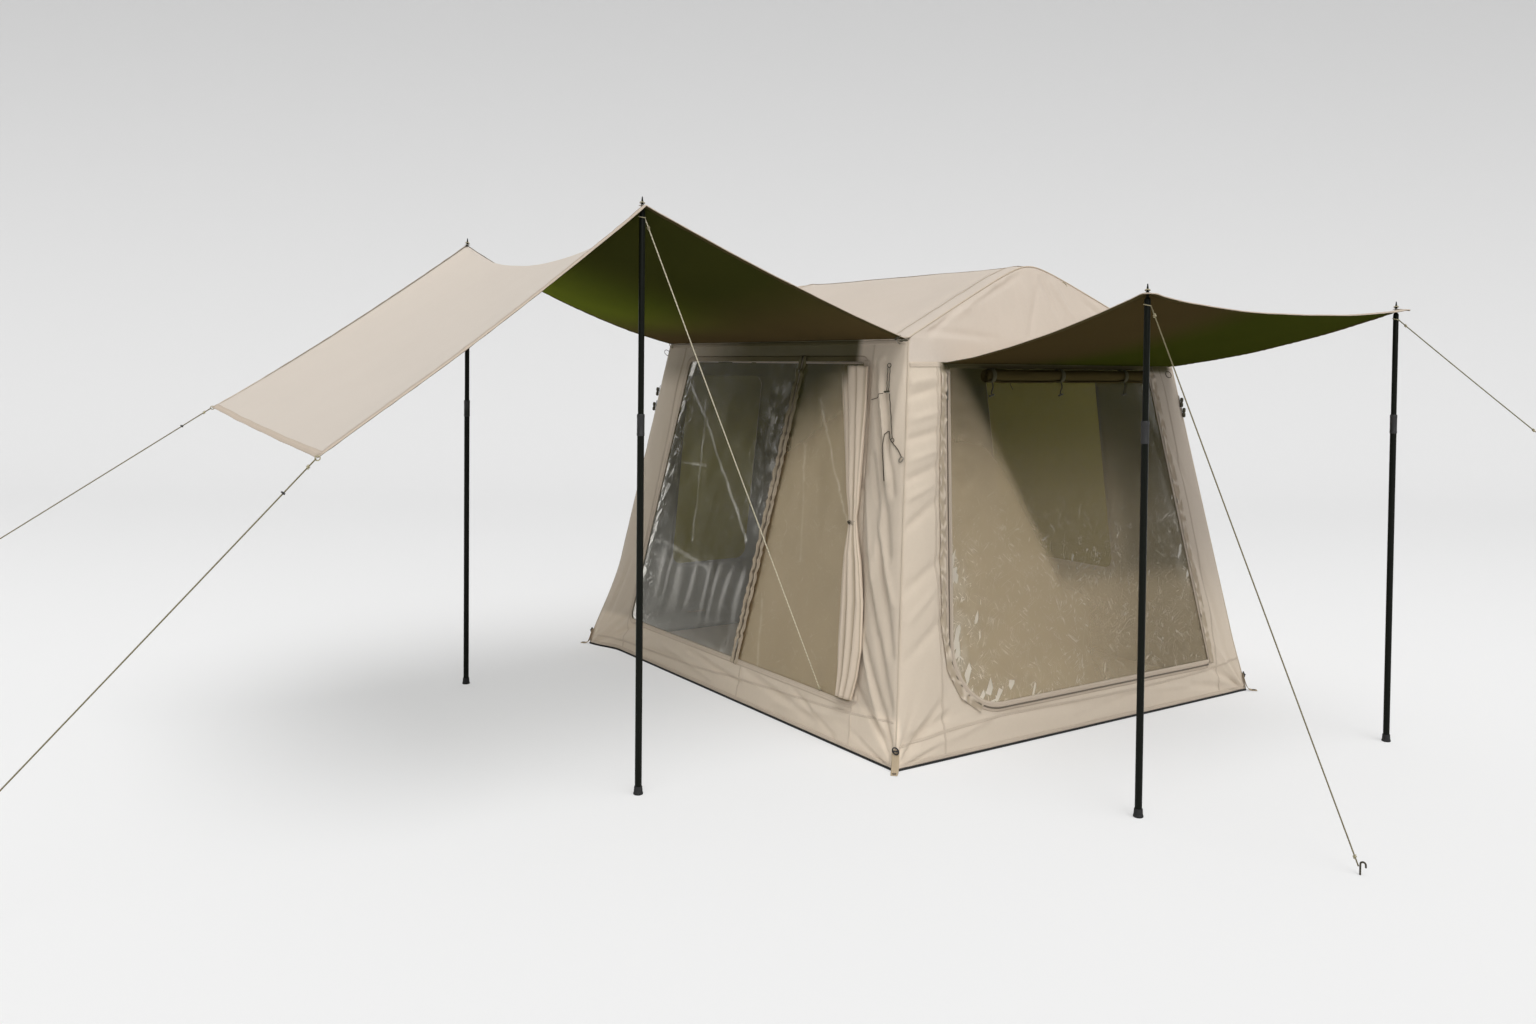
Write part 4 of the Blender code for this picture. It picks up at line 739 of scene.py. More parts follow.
# folds: from (u, z) to (u, z), width, depth
wallFolds = {
    "west": [
        (0.83, 1.58, 1.10, 0.80, 0.020, -0.014), (0.89, 1.60, 1.07, 1.05, 0.015, -0.011),
        (0.86, 1.60, 1.04, 1.10, 0.015, 0.009), (0.91, 1.20, 1.19, 0.42, 0.020, -0.015),
        (0.975, 1.00, 1.16, 0.62, 0.014, 0.010), (0.88, 1.10, 1.10, 0.50, 0.016, 0.009),
        (0.96, 0.78, 1.225, 0.22, 0.018, -0.013), (1.02, 0.45, 1.25, 0.10, 0.016, -0.010),
        (0.95, 0.55, 1.18, 0.14, 0.014, 0.009), (0.99, 0.26, 1.27, 0.06, 0.020, -0.010),
        (0.90, 0.80, 1.02, 0.35, 0.013, -0.008), (-1.26, 0.02, -0.90, 0.17, 0.016, -0.009),
        (-1.25, 0.02, -1.02, 0.20, 0.014, -0.008), (-1.24, 0.03, -0.70, 0.15, 0.020, 0.006),
        (-1.22, 0.10, -1.06, 0.50, 0.018, -0.007), (-0.35, 0.14, 0.15, 0.09, 0.014, -0.008),
        (0.20, 0.15, 0.75, 0.06, 0.018, -0.008), (-0.80, 0.05, -0.25, 0.10, 0.020, -0.006),
        (0.45, 0.07, 0.98, 0.13, 0.020, 0.006), (-0.60, 0.12, -0.10, 0.05, 0.014, 0.005),
        (1.03, 1.55, 1.02, 0.70, 0.025, 0.008), (0.55, 0.16, 0.90, 0.03, 0.012, -0.006),
    ],
    "south": [
        (-0.93, 1.50, -0.72, 1.53, 0.014, 0.006), (-0.90, 1.45, -0.72, 1.49, 0.018, -0.010),
        (-0.91, 1.35, -0.73, 1.39, 0.016, 0.007), (-0.93, 1.27, -0.74, 1.31, 0.018, -0.010),
        (-0.95, 1.18, -0.76, 1.23, 0.014, 0.006), (-0.96, 1.10, -0.76, 1.17, 0.020, -0.010),
        (-0.985, 0.90, -0.78, 1.03, 0.020, -0.010), (-0.98, 1.02, -0.80, 1.09, 0.014, 0.007),
        (-1.01, 0.66, -0.80, 0.79, 0.022, -0.009), (-1.03, 0.40, -0.82, 0.55, 0.022, -0.008),
        (-1.00, 0.55, -0.84, 0.68, 0.016, 0.006), (-1.08, 0.09, -0.70, 0.21, 0.020, -0.010),
        (-1.09, 0.02, -0.86, 0.22, 0.016, -0.009), (-1.06, 0.04, -0.60, 0.12, 0.016, 0.006),
        (-0.55, 0.13, 0.10, 0.09, 0.018, -0.007), (-0.10, 0.05, 0.55, 0.12, 0.018, -0.006),
        (0.70, 0.08, 1.08, 0.02, 0.018, -0.008), (0.10, 0.13, 0.70, 0.08, 0.014, 0.005),
        (0.82, 0.17, 1.09, 0.02, 0.014, -0.010), (0.90, 0.25, 1.09, 0.03, 0.014, 0.007),
        (0.72, 1.30, 0.84, 1.02, 0.016, -0.006), (0.80, 0.80, 0.98, 0.25, 0.018, -0.008),
        (-0.97, 1.58, -1.04, 0.50, 0.022, 0.006),
    ],
}
for plain, drawn in (("east", "west"), ("north", "south")):
    mirrored = [(-u0, z0, -u1, z1, width, depth) for u0, z0, u1, z1, width, depth in wallFolds[drawn]]
    wallFolds[plain] = mirrored + [fold for fold in wallFolds[drawn] if fold[1] < 0.5]
foldScale = {"west": 1.35, "south": 1.15, "east": 1.0, "north": 1.0}


def footPleats(side, u, z):
    # pleats that run out from the foot of a corner, each side with its own beat
    gap = halfWall(side, 0) - abs(u)
    reach = math.hypot(gap, z)
    if reach > 0.7:
        return 0.0
    angle = math.atan2(z, max(gap, 1e-4))
    own = {"west": 1.3, "south": 4.1, "east": 7.9, "north": 11.2}[side] + (2.6 if u > 0 else 0)
    pleat = math.sin(angle * 15 + 3.0 * noise.noise(Vector((angle * 2.2, own, reach))) + own)
    return -0.0085 * max(0.0, pleat) ** 1.6 * smooth(0.02, 0.09, reach) * math.exp(-(reach / 0.26) ** 1.5)


def foldDepth(u, z, folds):
    total = 0.0
    for u0, z0, u1, z1, width, depth in folds:
        du, dz = u1 - u0, z1 - z0
        length2 = du * du + dz * dz
        along = ((u - u0) * du + (z - z0) * dz) / length2
        if along < -0.2 or along > 1.2:
            continue
        near = clamp(along)
        away = math.hypot(u - u0 - du * near, z - z0 - dz * near) / width
        if away < 3:
            taper = math.sin(math.pi * clamp(0.12 + 0.76 * along)) ** 0.7
            total += depth * math.exp(-away * away) * taper
    return total


wallShape = {"loose": 0.0032, "billow": 0.006, "still": 0.05, "column": 0.016, "columnWide": 0.26}


def openingGap(side, u, z):
    # how far a point lies outside the wall's opening
    corners = openings[side]["corners"]
    reach = -1.0
    for i, (u0, z0) in enumerate(corners):
        du, dz = corners[(i + 1) % 4][0] - u0, corners[(i + 1) % 4][1] - z0
        reach = max(reach, ((u - u0) * dz - (z - z0) * du) / math.hypot(du, dz))
    return reach


def wallOut(side, u, z):
    # how far the cloth stands out from the flat wall
    edge = halfWall(side, z) - abs(u)
    beside = openingGap(side, u, z)
    calm = smooth(0.0, wallShape["still"], edge) * smooth(0.0, 0.03, z) * smooth(0.0, 0.07, beside)
    drift = {"west": 3.1, "south": 9.7, "east": 17.3, "north": 23.9}[side]
    soft = crumple(u * 2.2 + drift, z * 1.6, drift) * wallShape["billow"]
    small = crumple(u * 9 + drift, z * 5.0, drift * 2) * wallShape["loose"]
    column = math.sin(math.pi * clamp(edge / wallShape["columnWide"])) * smooth(0.10, 0.45, z)
    column *= smooth(1.66, 1.45, z)
    soft += column * wallShape["column"] if abs(edge) < wallShape["columnWide"] else 0.0
    folded = foldDepth(u, z, wallFolds[side]) * foldScale[side] + footPleats(side, u, z)
    folded *= smooth(-0.01, 0.03, edge) * smooth(0.0, 0.04, beside)
    return calm * (soft + small) + folded


def pegPull(side, u, z):
    # the far door-side corner is drawn out along the ground by its peg loop
    if side not in ("west", "north"):
        return 0.0
    gap = halfWall(side, z) + (u if side == "west" else -u)
    return 0.065 * smooth(0.25, 0.0, gap) * smooth(0.50, 0.0, z)


def wallPoint(side, u, z, lift=0.0):
    half, bend = halfWall(side, z), max(0.006, tent["cornerRound"] * smooth(-0.05, 0.30, z))
    out = wallOut(side, u, z) + lift
    gap = half - abs(u)
    if gap < bend:
        turn = (1 - max(gap, 0) / bend) * math.pi / 4
        sign = 1 if u > 0 else -1
        u = sign * (half - bend + (bend + out) * math.sin(turn))
        out = -bend + (bend + out) * math.cos(turn)
    return wallFrames[side] @ Vector((u, z * slope, out)) + Vector((-pegPull(side, u, z), 0, 0))


def outlinePath(corners, radii, steps=8):
    # a closed outline, its corners rounded
    points = []
    count = len(corners)
    for i, radius in enumerate(radii):
        before, corner, after = (Vector(corners[k % count]) for k in (i - 1, i, i + 1))
        if radius <= 0:
            points.append(corner)
            continue
        back, ahead = (before - corner).normalized(), (after - corner).normalized()
        half = back.angle(ahead) / 2
        reach = radius / math.tan(half)
        middle = corner + (back + ahead).normalized() * radius / math.sin(half)
        start, end = corner + back * reach - middle, corner + ahead * reach - middle
        turn = start.angle(end)
        for k in range(steps + 1):
            share = k / steps
            swing = start * math.sin((1 - share) * turn) + end * math.sin(share * turn)
            points.append(middle + swing / math.sin(turn))
    return points


def pathWalker(points, closed=True):
    # a function of the share of the way round, and the whole length
    ring = list(points) + ([points[0]] if closed else [])
    steps = [(b - a).length for a, b in zip(ring, ring[1:])]
    total = sum(steps)

    def walk(share):
        left = clamp(share) * total
        for start, end, step in zip(ring, ring[1:], steps):
            if left <= step:
                return start.lerp(end, left / step if step else 0)
            left -= step
        return ring[-1].copy()

    return walk, total


def openingSides(outline, corners):
    # the outline cut at the points nearest to its four sharp corners, as four walkers
    marks = []
    for corner in corners:
        marks.append(min(range(len(outline)), key=lambda k: (outline[k] - Vector(corner)).length))
    sides = []
    for i, mark in enumerate(marks):
        end = marks[(i + 1) % 4]
        run = outline[mark:end + 1] if end > mark else outline[mark:] + outline[:end + 1]
        sides.append(pathWalker(run, closed=False)[0])
    return sides


openings = {
    "west": {"corners": [(-0.989, 0.19), (0.989, 0.19), (0.756, 1.60), (-0.756, 1.60)], "radii": (0.03,) * 4},
    "south": {"corners": [(-0.79, 0.18), (0.86, 0.18), (0.66, 1.575), (-0.63, 1.575)],
        "radii": (0.24, 0, 0, 0)},
    "east": {"corners": [(-0.53, 0.50), (0.29, 0.50), (0.29, 1.56), (-0.53, 1.56)], "radii": (0.06,) * 4},
    "north": {"corners": [(0.20, 0.42), (0.70, 0.42), (0.70, 1.52), (0.20, 1.52)], "radii": (0.06,) * 4},
}
wallHeads = {"west": 1.698, "east": 1.698, "south": 1.600, "north": 1.600}
wallFoot = 0.0068


def makeWall(side):
    head = wallHeads[side]
    outline = outlinePath(openings[side]["corners"], openings[side]["radii"])
    inner = openingSides(outline, openings[side]["corners"])
    halfFoot, halfHead = halfWall(side, wallFoot), halfWall(side, head)
    outer = [(-halfFoot, wallFoot), (halfFoot, wallFoot), (halfHead, head), (-halfHead, head)]

    def flat(s, t):
        side4 = min(3, int(s * 4 + 1e-9))
        share = s * 4 - side4
        a, b = Vector(outer[side4]), Vector(outer[(side4 + 1) % 4])
        return a.lerp(b, share).lerp(inner[side4](share), t)

    def place(s, t):
        u, z = flat(s, t)
        return wallPoint(side, u, z)

    name = "wall" + side.title()
    fine = side in ("west", "south")
    wall = clothGrid(
        name, 720 if fine else 320, 38 if fine else 14, place, [sandCloth, insideCloth], uv=flat, ring=True,
        thickness=tent["cloth"], inner=1)
    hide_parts("wall_" + side)
    corners = openings[side]["corners"]
    pairs = zip(corners[-1:] + corners, corners)
    hole = abs(sum(u0 * z1 - u1 * z0 for (u0, z0), (u1, z1) in pairs)) / 2 * slope
    return wall


for side in wallFrames:
    makeWall(side)
print("walls made")

# roof and gables


def roofHeight(x):
    rise = (tent["ridge"] - tent["eave"]) / (math.hypot(eaveX, tent["ridgeRound"]) - tent["ridgeRound"])
    return tent["ridge"] - rise * (math.hypot(x, tent["ridgeRound"]) - tent["ridgeRound"])


def endFace(z):
    if z < tent["eave"]:
        return tent["baseY"] / 2 - tent["inset"] * z / tent["eave"]
    return lerp(eaveY, ridgeY, (z - tent["eave"]) / (tent["ridge"] - tent["eave"]))


roofShape = {
    "slack": 0.008,
    "tubeBulge": 0.004,
    "tubeAt": 0.075,
    "tubeWide": 0.045,
    "dip": 0.006,
}


def roofPoint(s, t):
    x = lerp(-eaveX, eaveX, s)
    height = roofHeight(x)
    edge = endFace(height)
    y = lerp(-edge, edge, t)
    fromEnd = edge - abs(y)
    fromEave = eaveX - abs(x)
    hollow = smooth(0.06, 0.35, fromEnd) * smooth(0, 0.25, fromEave) * smooth(0, 0.25, abs(x))
    tube = math.exp(-((fromEnd - roofShape["tubeAt"]) / roofShape["tubeWide"]) ** 2)
    dip = math.exp(-((fromEnd - roofShape["tubeAt"] * 2.1) / 0.03) ** 2) * smooth(0.03, 0.2, abs(x))
    wrinkle = crumple(x * 8, y * 3, 4.0) * 0.003
    wrinkle += crease(x * 5, y * 11, 2.0) * 0.003 * math.exp(-fromEnd / 0.12)
    calm = smooth(0, 0.04, min(fromEnd, fromEave))
    lift = roofShape["tubeBulge"] * tube - roofShape["dip"] * dip - roofShape["slack"] * hollow + wrinkle
    return Vector((x, y, height + lift * calm))


def makeRoof():
    roof = clothGrid(
        "roof", 120, 130, roofPoint, [roofCloth, insideRoof], uv=lambda s, t: (s * 1.84, t * 2.0),
        thickness=tent["cloth"], inner=1)
    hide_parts("roof_canopy")


gableFolds = [
    (-0.08, 2.01, -0.44, 1.85, 0.016, -0.009), (-0.16, 1.99, -0.58, 1.79, 0.020, 0.007),
    (0.05, 2.00, 0.09, 1.84, 0.012, -0.009), (0.11, 1.99, 0.19, 1.82, 0.014, 0.008),
    (-0.76, 1.74, -0.30, 1.70, 0.020, -0.006), (0.30, 1.90, 0.56, 1.71, 0.018, -0.007),
    (-0.50, 1.86, -0.74, 1.70, 0.016, -0.007), (0.02, 1.96, -0.12, 1.72, 0.016, -0.006),
]


def gablePoint(side, s, t):
    # s across, t from the header seam to the roof's edge
    low = tent["header"] + 0.001
    halfLow = halfWall("south", low)
    x = lerp(-halfLow, halfLow, s)
    top = roofHeight(clamp(x, -eaveX, eaveX)) - 0.002
    if abs(x) > eaveX:
        top = tent["eave"] - (abs(x) - eaveX) * tent["eave"] / tent["inset"]
    z = lerp(low, max(top, low), t)
    out = endFace(z)
    pull = crumple(x * 7, z * 3, 8.0) * 0.004 * smooth(0, 0.03, top - z) * smooth(0, 0.02, z - low)
    drape = crease(x * 13, z * 1.5, 5.5) * 0.003 * smooth(0.1, 0.3, z - low) * smooth(0, 0.03, top - z)
    drape += foldDepth(x, z, gableFolds) * smooth(0, 0.03, top - z) * smooth(0, 0.02, z - low)
    sign = -1 if side == "south" else 1
    bend = tent["cornerRound"]
    gap = halfWall("south", min(z, tent["eave"])) - abs(x)
    if gap < bend and z < tent["eave"] + 0.03:
        turn = (1 - max(gap, 0) / bend) * math.pi / 4
        x = math.copysign(halfWall("south", min(z, tent["eave"])) - bend + bend * math.sin(turn), x)
        out -= bend * (1 - math.cos(turn))
    return Vector((x, sign * (out + pull + drape), z))


def makeGable(side):
    mirror = side == "north"

    def place(s, t):
        return gablePoint(side, 1 - s if mirror else s, t)

    gable = clothGrid(
        "gable" + side.title(), 160, 44, place, [roofCloth], uv=lambda s, t: (s * 1.72, t * 0.47),
        thickness=tent["cloth"])
    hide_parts("gable_" + side)


makeRoof()
makeGable("south")
makeGable("north")
print("roof made")

# clear sheets in the openings

filmLift = -0.0034
filmWest = (0.175, 1.615)  # foot and head of the sheets
filmSouth = (0.165, 1.588)
filmLap = 0.012


def doorSplit(z):
    return lerp(0.085, 0.29, (z - 0.19) / (1.60 - 0.19))


def makeFilm(name, node, side, left, right, low, high, ripple, masks, across=165, along=200):
    def flat(s, t):
        z = lerp(low, high, t)
        return lerp(left(z), right(z), s), z

    def place(s, t):
        u, z = flat(s, t)
        rim = min(1, 12 * min(s, 1 - s, t, 1 - t))
        return wallPoint(side, u, z, filmLift + (ripple(s, t) - wallOut(side, u, z)) * rim)

    film = clothGrid(
        name, across, along, place, [clearFilm], slot="clear_vinyl", uv=flat, thickness=0.0006, masks=masks)
    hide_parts(node)
    width = right(low) - left(low)
    area = (right(low) - left(low) + right(high) - left(high)) / 2 * (high - low) * slope
    return film


def southEdge(z, right):
    (left0, low), (right0, _), (right1, high), (left1, _) = openings["south"]["corners"]
    share = (z - low) / (high - low)
    return lerp(right0, right1, share) + filmLap if right else lerp(left0, left1, share) - filmLap


def makeFilms():
    def rippleWest(s, t):
        soft = -0.010 * math.sin(math.pi * s) * math.sin(math.pi * t) + 0.003 * crumple(s * 3, t * 5, 1.0)
        return soft + 0.003 * crumple(s * 9, t * 2.5, 3.0, 2) * smooth(0.3, 1.0, 1 - t)

    def edges(s, t, wide):
        return max(math.exp(-(s / wide) ** 2), math.exp(-((1 - s) / wide) ** 2), math.exp(-(t / wide) ** 2))

    def westHalf(z):
        return halfWall("west", z) - 0.265

    def westSpot(s, t, door):
        z = lerp(*filmWest, t)
        left, right = (doorSplit(z), westHalf(z)) if door else (-westHalf(z), doorSplit(z))
        return lerp(left, right, s), z

    # painted highlights: bright streaks along listed lines
    def lineGlow(u, z, lines):
        total = 0.0
        for u0, z0, u1, z1, width, strength in lines:
            du, dz = u1 - u0, z1 - z0
            along = clamp(((u - u0) * du + (z - z0) * dz) / (du * du + dz * dz))
            bend = 0.012 * noise.noise(Vector((u0 * 9, along * 4, z0)))
            away = math.hypot(u - u0 - du * along - bend, z - z0 - dz * along)
            broken = 0.65 + 0.5 * noise.noise(Vector((along * 9, u0, z1)))
            total = max(total, strength * math.exp(-(away / width) ** 2) * broken)
        return total

    windowLines = [
        (-0.723, 1.472, -0.514, 1.293, 0.0065, 0.8), (-0.514, 1.293, -0.296, 1.05, 0.0065, 0.9),
        (-0.296, 1.05, 0.022, 0.738, 0.008, 1.1), (-0.544, 1.396, -0.504, 0.982, 0.0055, 0.6),
        (-0.504, 0.982, -0.485, 0.675, 0.0055, 0.5), (-0.706, 1.061, -0.467, 1.062, 0.0055, 0.8),
        (-0.780, 0.640, -0.300, 0.560, 0.010, 0.5),
    ]
    doorLines = [
        (0.449, 1.424, 0.534, 1.292, 0.006, 1.0), (0.534, 1.292, 0.691, 1.038, 0.006, 1.3),
        (0.691, 1.038, 0.769, 0.916, 0.006, 1.0), (0.384, 1.216, 0.415, 1.058, 0.008, 0.6),
        (0.415, 1.058, 0.472, 0.704, 0.007, 0.4), (0.22, 0.485, 0.273, 0.129, 0.008, 0.5),
    ]

    # where the painted crinkle highlights show on each sheet
    def crinkleGlintWest(s, t):
        border = math.exp(-(s / 0.10) ** 2)
        zipside = math.exp(-((1 - s) / 0.20) ** 2) * smooth(0.36, 0.50, t) * smooth(0.97, 0.75, t)
        return clamp(0.04 + 0.92 * border + 0.35 * math.exp(-(t / 0.05) ** 2) + 0.36 * zipside)

    def milkAndGlintWest(s, t):
        u, z = westSpot(s, t, False)
        fan = 0.5 + 0.5 * math.sin(s * 55 + 4 * noise.noise(Vector((s * 7, t * 3, 0))) + t * 6 * (s - 0.5))
        ragged = smooth(0.64, 0.52, z + 0.06 * noise.noise(Vector((s * 13, 2.0, 0))))
        low = ragged * (0.15 + fan ** 3 * smooth(0.22, 0.52, z) + 0.18 * smooth(0.4, 0.2, z))
        border = 0.9 * math.exp(-(s / 0.05) ** 2) * (0.7 + 0.9 * crumple(s * 30, t * 22, 1.0, 2))
        zipside = 0.42 * math.exp(-((1 - s) / 0.20) ** 2) * smooth(0.35, 0.5, t)
        zipside *= 2.4 * crumple(s * 18, t * 24, 3.0, 2)
        milk = low + border + max(zipside, 0) + lineGlow(u, z, windowLines) * 2.2 + 0.4 * edges(s, t, 0.02)
        return clamp(milk, 0.0, 3.5)

    def rippleDoor(s, t):
        return -0.008 * math.sin(math.pi * s) * math.sin(math.pi * t) + 0.004 * crumple(s * 3, t * 4, 7.0)

    def crinkleGlintDoor(s, t):
        return clamp(0.06 + 0.35 * math.exp(-(s / 0.05) ** 2) + 0.4 * math.exp(-((1 - s) / 0.06) ** 2))

    def milkAndGlintDoor(s, t):
        u, z = westSpot(s, t, True)
        return clamp(lineGlow(u, z, doorLines) * 1.6 + 0.3 * edges(s, t, 0.015), 0.0, 3.5)

    def paintedLightDoor(s, t):
        # painted light: a beige patch for the lit inside, fading out towards the head
        u, z = westSpot(s, t, True)
        return smooth(1.50, 1.02, z - 0.55 * (u - 0.30)) * (1.05 + 0.10 * crumple(u * 2, z * 2, 3.0))

    def rippleSouth(s, t):
        return (-0.012 * math.sin(math.pi * s) * math.sin(math.pi * t) + 0.004 * crumple(s * 3, t * 3, 11.0)
                + 0.006 * edges(s, t, 0.10) * crumple(s * 15, t * 13, 4.0, 2))

    def southSpot(s, t):
        z = lerp(*filmSouth, t)
        return lerp(southPlaceLeft(z), southEdge(z, True), s), z

    def crinkleGlintSouth(s, t):
        x, z = southSpot(s, t)
        left = math.exp(-(s / 0.075) ** 2) * smooth(0.95, 0.55, z)
        low = math.exp(-(t / 0.09) ** 2) * smooth(0.45, 0.1, s) * 0.32
        right = math.exp(-((1 - s) / 0.06) ** 2) * 0.34 * smooth(0.35, 0.7, z)
        return clamp(left * 1.1 + low + right + 0.30 * smooth(1.10, 0.70, z) + 0.03)

    def milkAndGlintSouth(s, t):
        x, z = southSpot(s, t)
        corner = math.exp(-(s / 0.07) ** 2) * math.exp(-((z - 0.50) / 0.28) ** 2)
        rightEdge = math.exp(-((1 - s) / 0.07) ** 2) * smooth(0.35, 0.7, z)
        streaks = max(0.0, crumple(s * 24 + t * 3, t * 5, 1.0, 2) + 0.25)
        spots = 1.6 * corner * max(0, 0.5 + 1.2 * crumple(s * 34, t * 18, 3.0, 2))
        return clamp(spots + 1.1 * rightEdge * streaks + 0.4 * edges(s, t, 0.012), 0, 3)

    def paintedLightSouth(s, t):
        # painted light: the lit patch reaches up to a slanting shadow edge, then to a level one, and thins to
        # the right
        x, z = southSpot(s, t)
        line = max(1.208 - 1.776 * (x + 0.385), 0.66 - 0.05 * x)
        bloom = smooth(0.12, -0.12, z - line) * lerp(1.06, 0.50, smooth(-0.50, 0.65, x))
        bloom *= lerp(1.0, 0.42, smooth(1.0, 1.55, z))
        back = 0.30 * smooth(1.45, 0.75, z) * lerp(1.0, 0.5, smooth(0.30, 0.45, x))
        return max(bloom, back) * (1.0 + 0.10 * crumple(x * 2, z * 2, 8.0))

    makeFilm(
        "windowWest", "clear_window_west", "west", lambda z: -westHalf(z), doorSplit, *filmWest, rippleWest,
        {"haze": crinkleGlintWest, "milk": milkAndGlintWest})
    makeFilm(
        "doorWest", "clear_door_west", "west", doorSplit, westHalf, *filmWest, rippleDoor,
        {"haze": crinkleGlintDoor, "milk": milkAndGlintDoor, "veil": paintedLightDoor})

    def southPlaceLeft(z):
        # the sheet's rounded corner follows the opening's
        radius, low = 0.25, filmSouth[0]
        if z < low + radius:
            return southEdge(z, False) + radius - math.sqrt(max(0, radius ** 2 - (low + radius - z) ** 2))
        return southEdge(z, False)

    makeFilm(
        "windowSouth", "clear_window_south", "south", southPlaceLeft, lambda z: southEdge(z, True),
        *filmSouth, rippleSouth, {"haze": crinkleGlintSouth, "milk": milkAndGlintSouth, "veil": paintedLightSouth}, 150, 160)


makeFilms()
print("clear sheets made")

# the closed covers of the far windows


def makeCover(side):
    low, _, high, _ = openings[side]["corners"]
    lap = 0.03

    def place(s, t):
        u, z = lerp(low[0] - lap, high[0] + lap, s), lerp(low[1] - lap, high[1] + lap, t)
        calm = smooth(0, 0.1, min(s, 1 - s, t, 1 - t)) ** 2
        return wallPoint(side, u, z, 0.0022 + 0.004 * crumple(u * 4, z * 3, 5.0) * calm)

    width, height = high[0] - low[0] + lap * 2, (high[1] - low[1] + lap * 2) * slope
    cover = clothGrid(
        "cover" + side.title(), 60, 70, place, [coverCloth, greenInside],
        uv=lambda s, t: (s * width, t * height), thickness=tent["cloth"], offset=1.0, inner=1)
    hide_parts("window_cover_" + side)


makeCover("east")
makeCover("north")


def makeGroundsheet():
    shape = bmesh.new()
    size = (tent["baseX"], tent["baseY"], 0.006)
    bmesh.ops.create_cube(
        shape, size=1, matrix=Matrix.Translation((0, 0, 0.003)) @ Matrix.Diagonal((*size, 1)))
    long = [e for e in shape.edges if abs(e.verts[0].co.z - e.verts[1].co.z) < 1e-6]
    bmesh.ops.subdivide_edges(shape, edges=long, cuts=40, use_grid_fill=True)
    for face in shape.faces:
        face.material_index = 1 if face.normal.z > 0.5 else 0
    for vert in shape.verts:
        inside = min(size[0] / 2 - abs(vert.co.x), size[1] / 2 - abs(vert.co.y))
        if vert.co.z > 0.003:
            vert.co.z += 0.004 * clamp(crumple(vert.co.x * 4, vert.co.y * 4, 3.0)) * smooth(0.05, 0.2, inside)
    sheet = finishMesh("floorSheet", shape, [groundBlack, insideFloor], "groundsheet_black", sharp=40)
    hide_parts("groundsheet")


makeGroundsheet()

# awnings

awningShape = {
    "west": {
        "poleX": -2.08, "near": -0.98, "far": 0.83, "top": 2.15, "hem": 0.030, "eaveHalf": 0.97,
        "flapX": -3.22, "flapNear": 1.28, "flapFar": 1.37, "sag": 0.15, "hang": 0.05,
    },
    "south": {
        "poleY": -2.12, "left": -0.70, "right": 0.91, "top": 1.84, "hem": 0.030,
        "wallLeft": -0.64, "wallRight": 0.80, "sag": 0.045, "hang": 0.03,
    },
    "thickness": 0.0022,
    "wrinkle": 0.003,
}


def dip(t):
    return max(0.0, 4 * t * (1 - t))


def westAwningPoint(s, t):
    a = awningShape["west"]
    ridge = a["top"] - a["sag"] * dip(t) ** 0.7
    y = lerp(a["near"], a["far"], t)
    if s <= 0.5:
        q = s * 2
        x = lerp(-eaveX - 0.003, a["poleX"], q)
        hang = a["hang"] * dip(q) * lerp(0.35, 1.0, t)
        return Vector((x, lerp(lerp(-a["eaveHalf"], a["eaveHalf"], t), y, q), lerp(1.697, ridge, q) - hang))
    q = s * 2 - 1
    hem = lerp(a["flapNear"], a["flapFar"], t) - 0.02 * dip(t)
    x = lerp(a["poleX"], a["flapX"], q) + 0.03 * dip(t) * q
    return Vector((x, y, lerp(ridge, hem, q) - 0.02 * dip(q)))


def southAwningPoint(s, t):
    a = awningShape["south"]
    x = lerp(lerp(a["wallLeft"], a["wallRight"], s), lerp(a["left"], a["right"], s), t)
    y = lerp(-endFace(tent["header"]) - 0.003, a["poleY"], t)
    sag = a["sag"] * dip(s) ** 0.8 * t + a["hang"] * dip(t)
    return Vector((x, y + 0.03 * dip(s) * t, lerp(tent["header"], a["top"], min(t, 1)) - sag))


def westSheetPoint(s, t):
    a = awningShape["west"]
    hem = a["hem"] / (a["far"] - a["near"])
    point = westAwningPoint(1 - s, lerp(-hem, 1 + hem, t))
    toPole = min(math.hypot(point.x - a["poleX"], point.y - y) for y in (a["near"], a["far"]))
    rays = crease(math.atan2(point.y - a["near"], point.x - a["poleX"]) * 2.2, 1.0) * math.exp(-toPole / 0.25)
    calm = smooth(0.01, 0.06, toPole) * smooth(0.0, 0.04, -eaveX - point.x)
    point.z += awningShape["wrinkle"] * calm * (crumple(point.x * 2.5, point.y * 4, 2.0) - 0.8 * rays)
    return point


def makeWestAwning():
    sheet = clothGrid(
        "awningWest", 150, 110, westSheetPoint, [awningTop, awningUnderWest], slot="awning_cloth",
        uv=lambda s, t: (s * 2.75, t * 1.87), thickness=awningShape["thickness"], offset=0, inner=1)
    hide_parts("awning_west")


def southSheetPoint(s, t):
    a = awningShape["south"]
    hem = a["hem"] / (a["right"] - a["left"])
    lip = a["hem"] / 0.80
    point = southAwningPoint(lerp(-hem, 1 + hem, s), lerp(1 + lip, 0, t))
    toPole = min(math.hypot(point.x - x, point.y - a["poleY"]) for x in (a["left"], a["right"]))
    rays = crease(math.atan2(point.y - a["poleY"], point.x - a["right"]) * 2.2, 1.0) * math.exp(-toPole / 0.2)
    calm = smooth(0.01, 0.06, toPole) * smooth(0.0, 0.04, 1 - t)
    point.z += awningShape["wrinkle"] * calm * (crumple(point.x * 3, point.y * 3, 6.0) - 0.6 * rays)
    return point


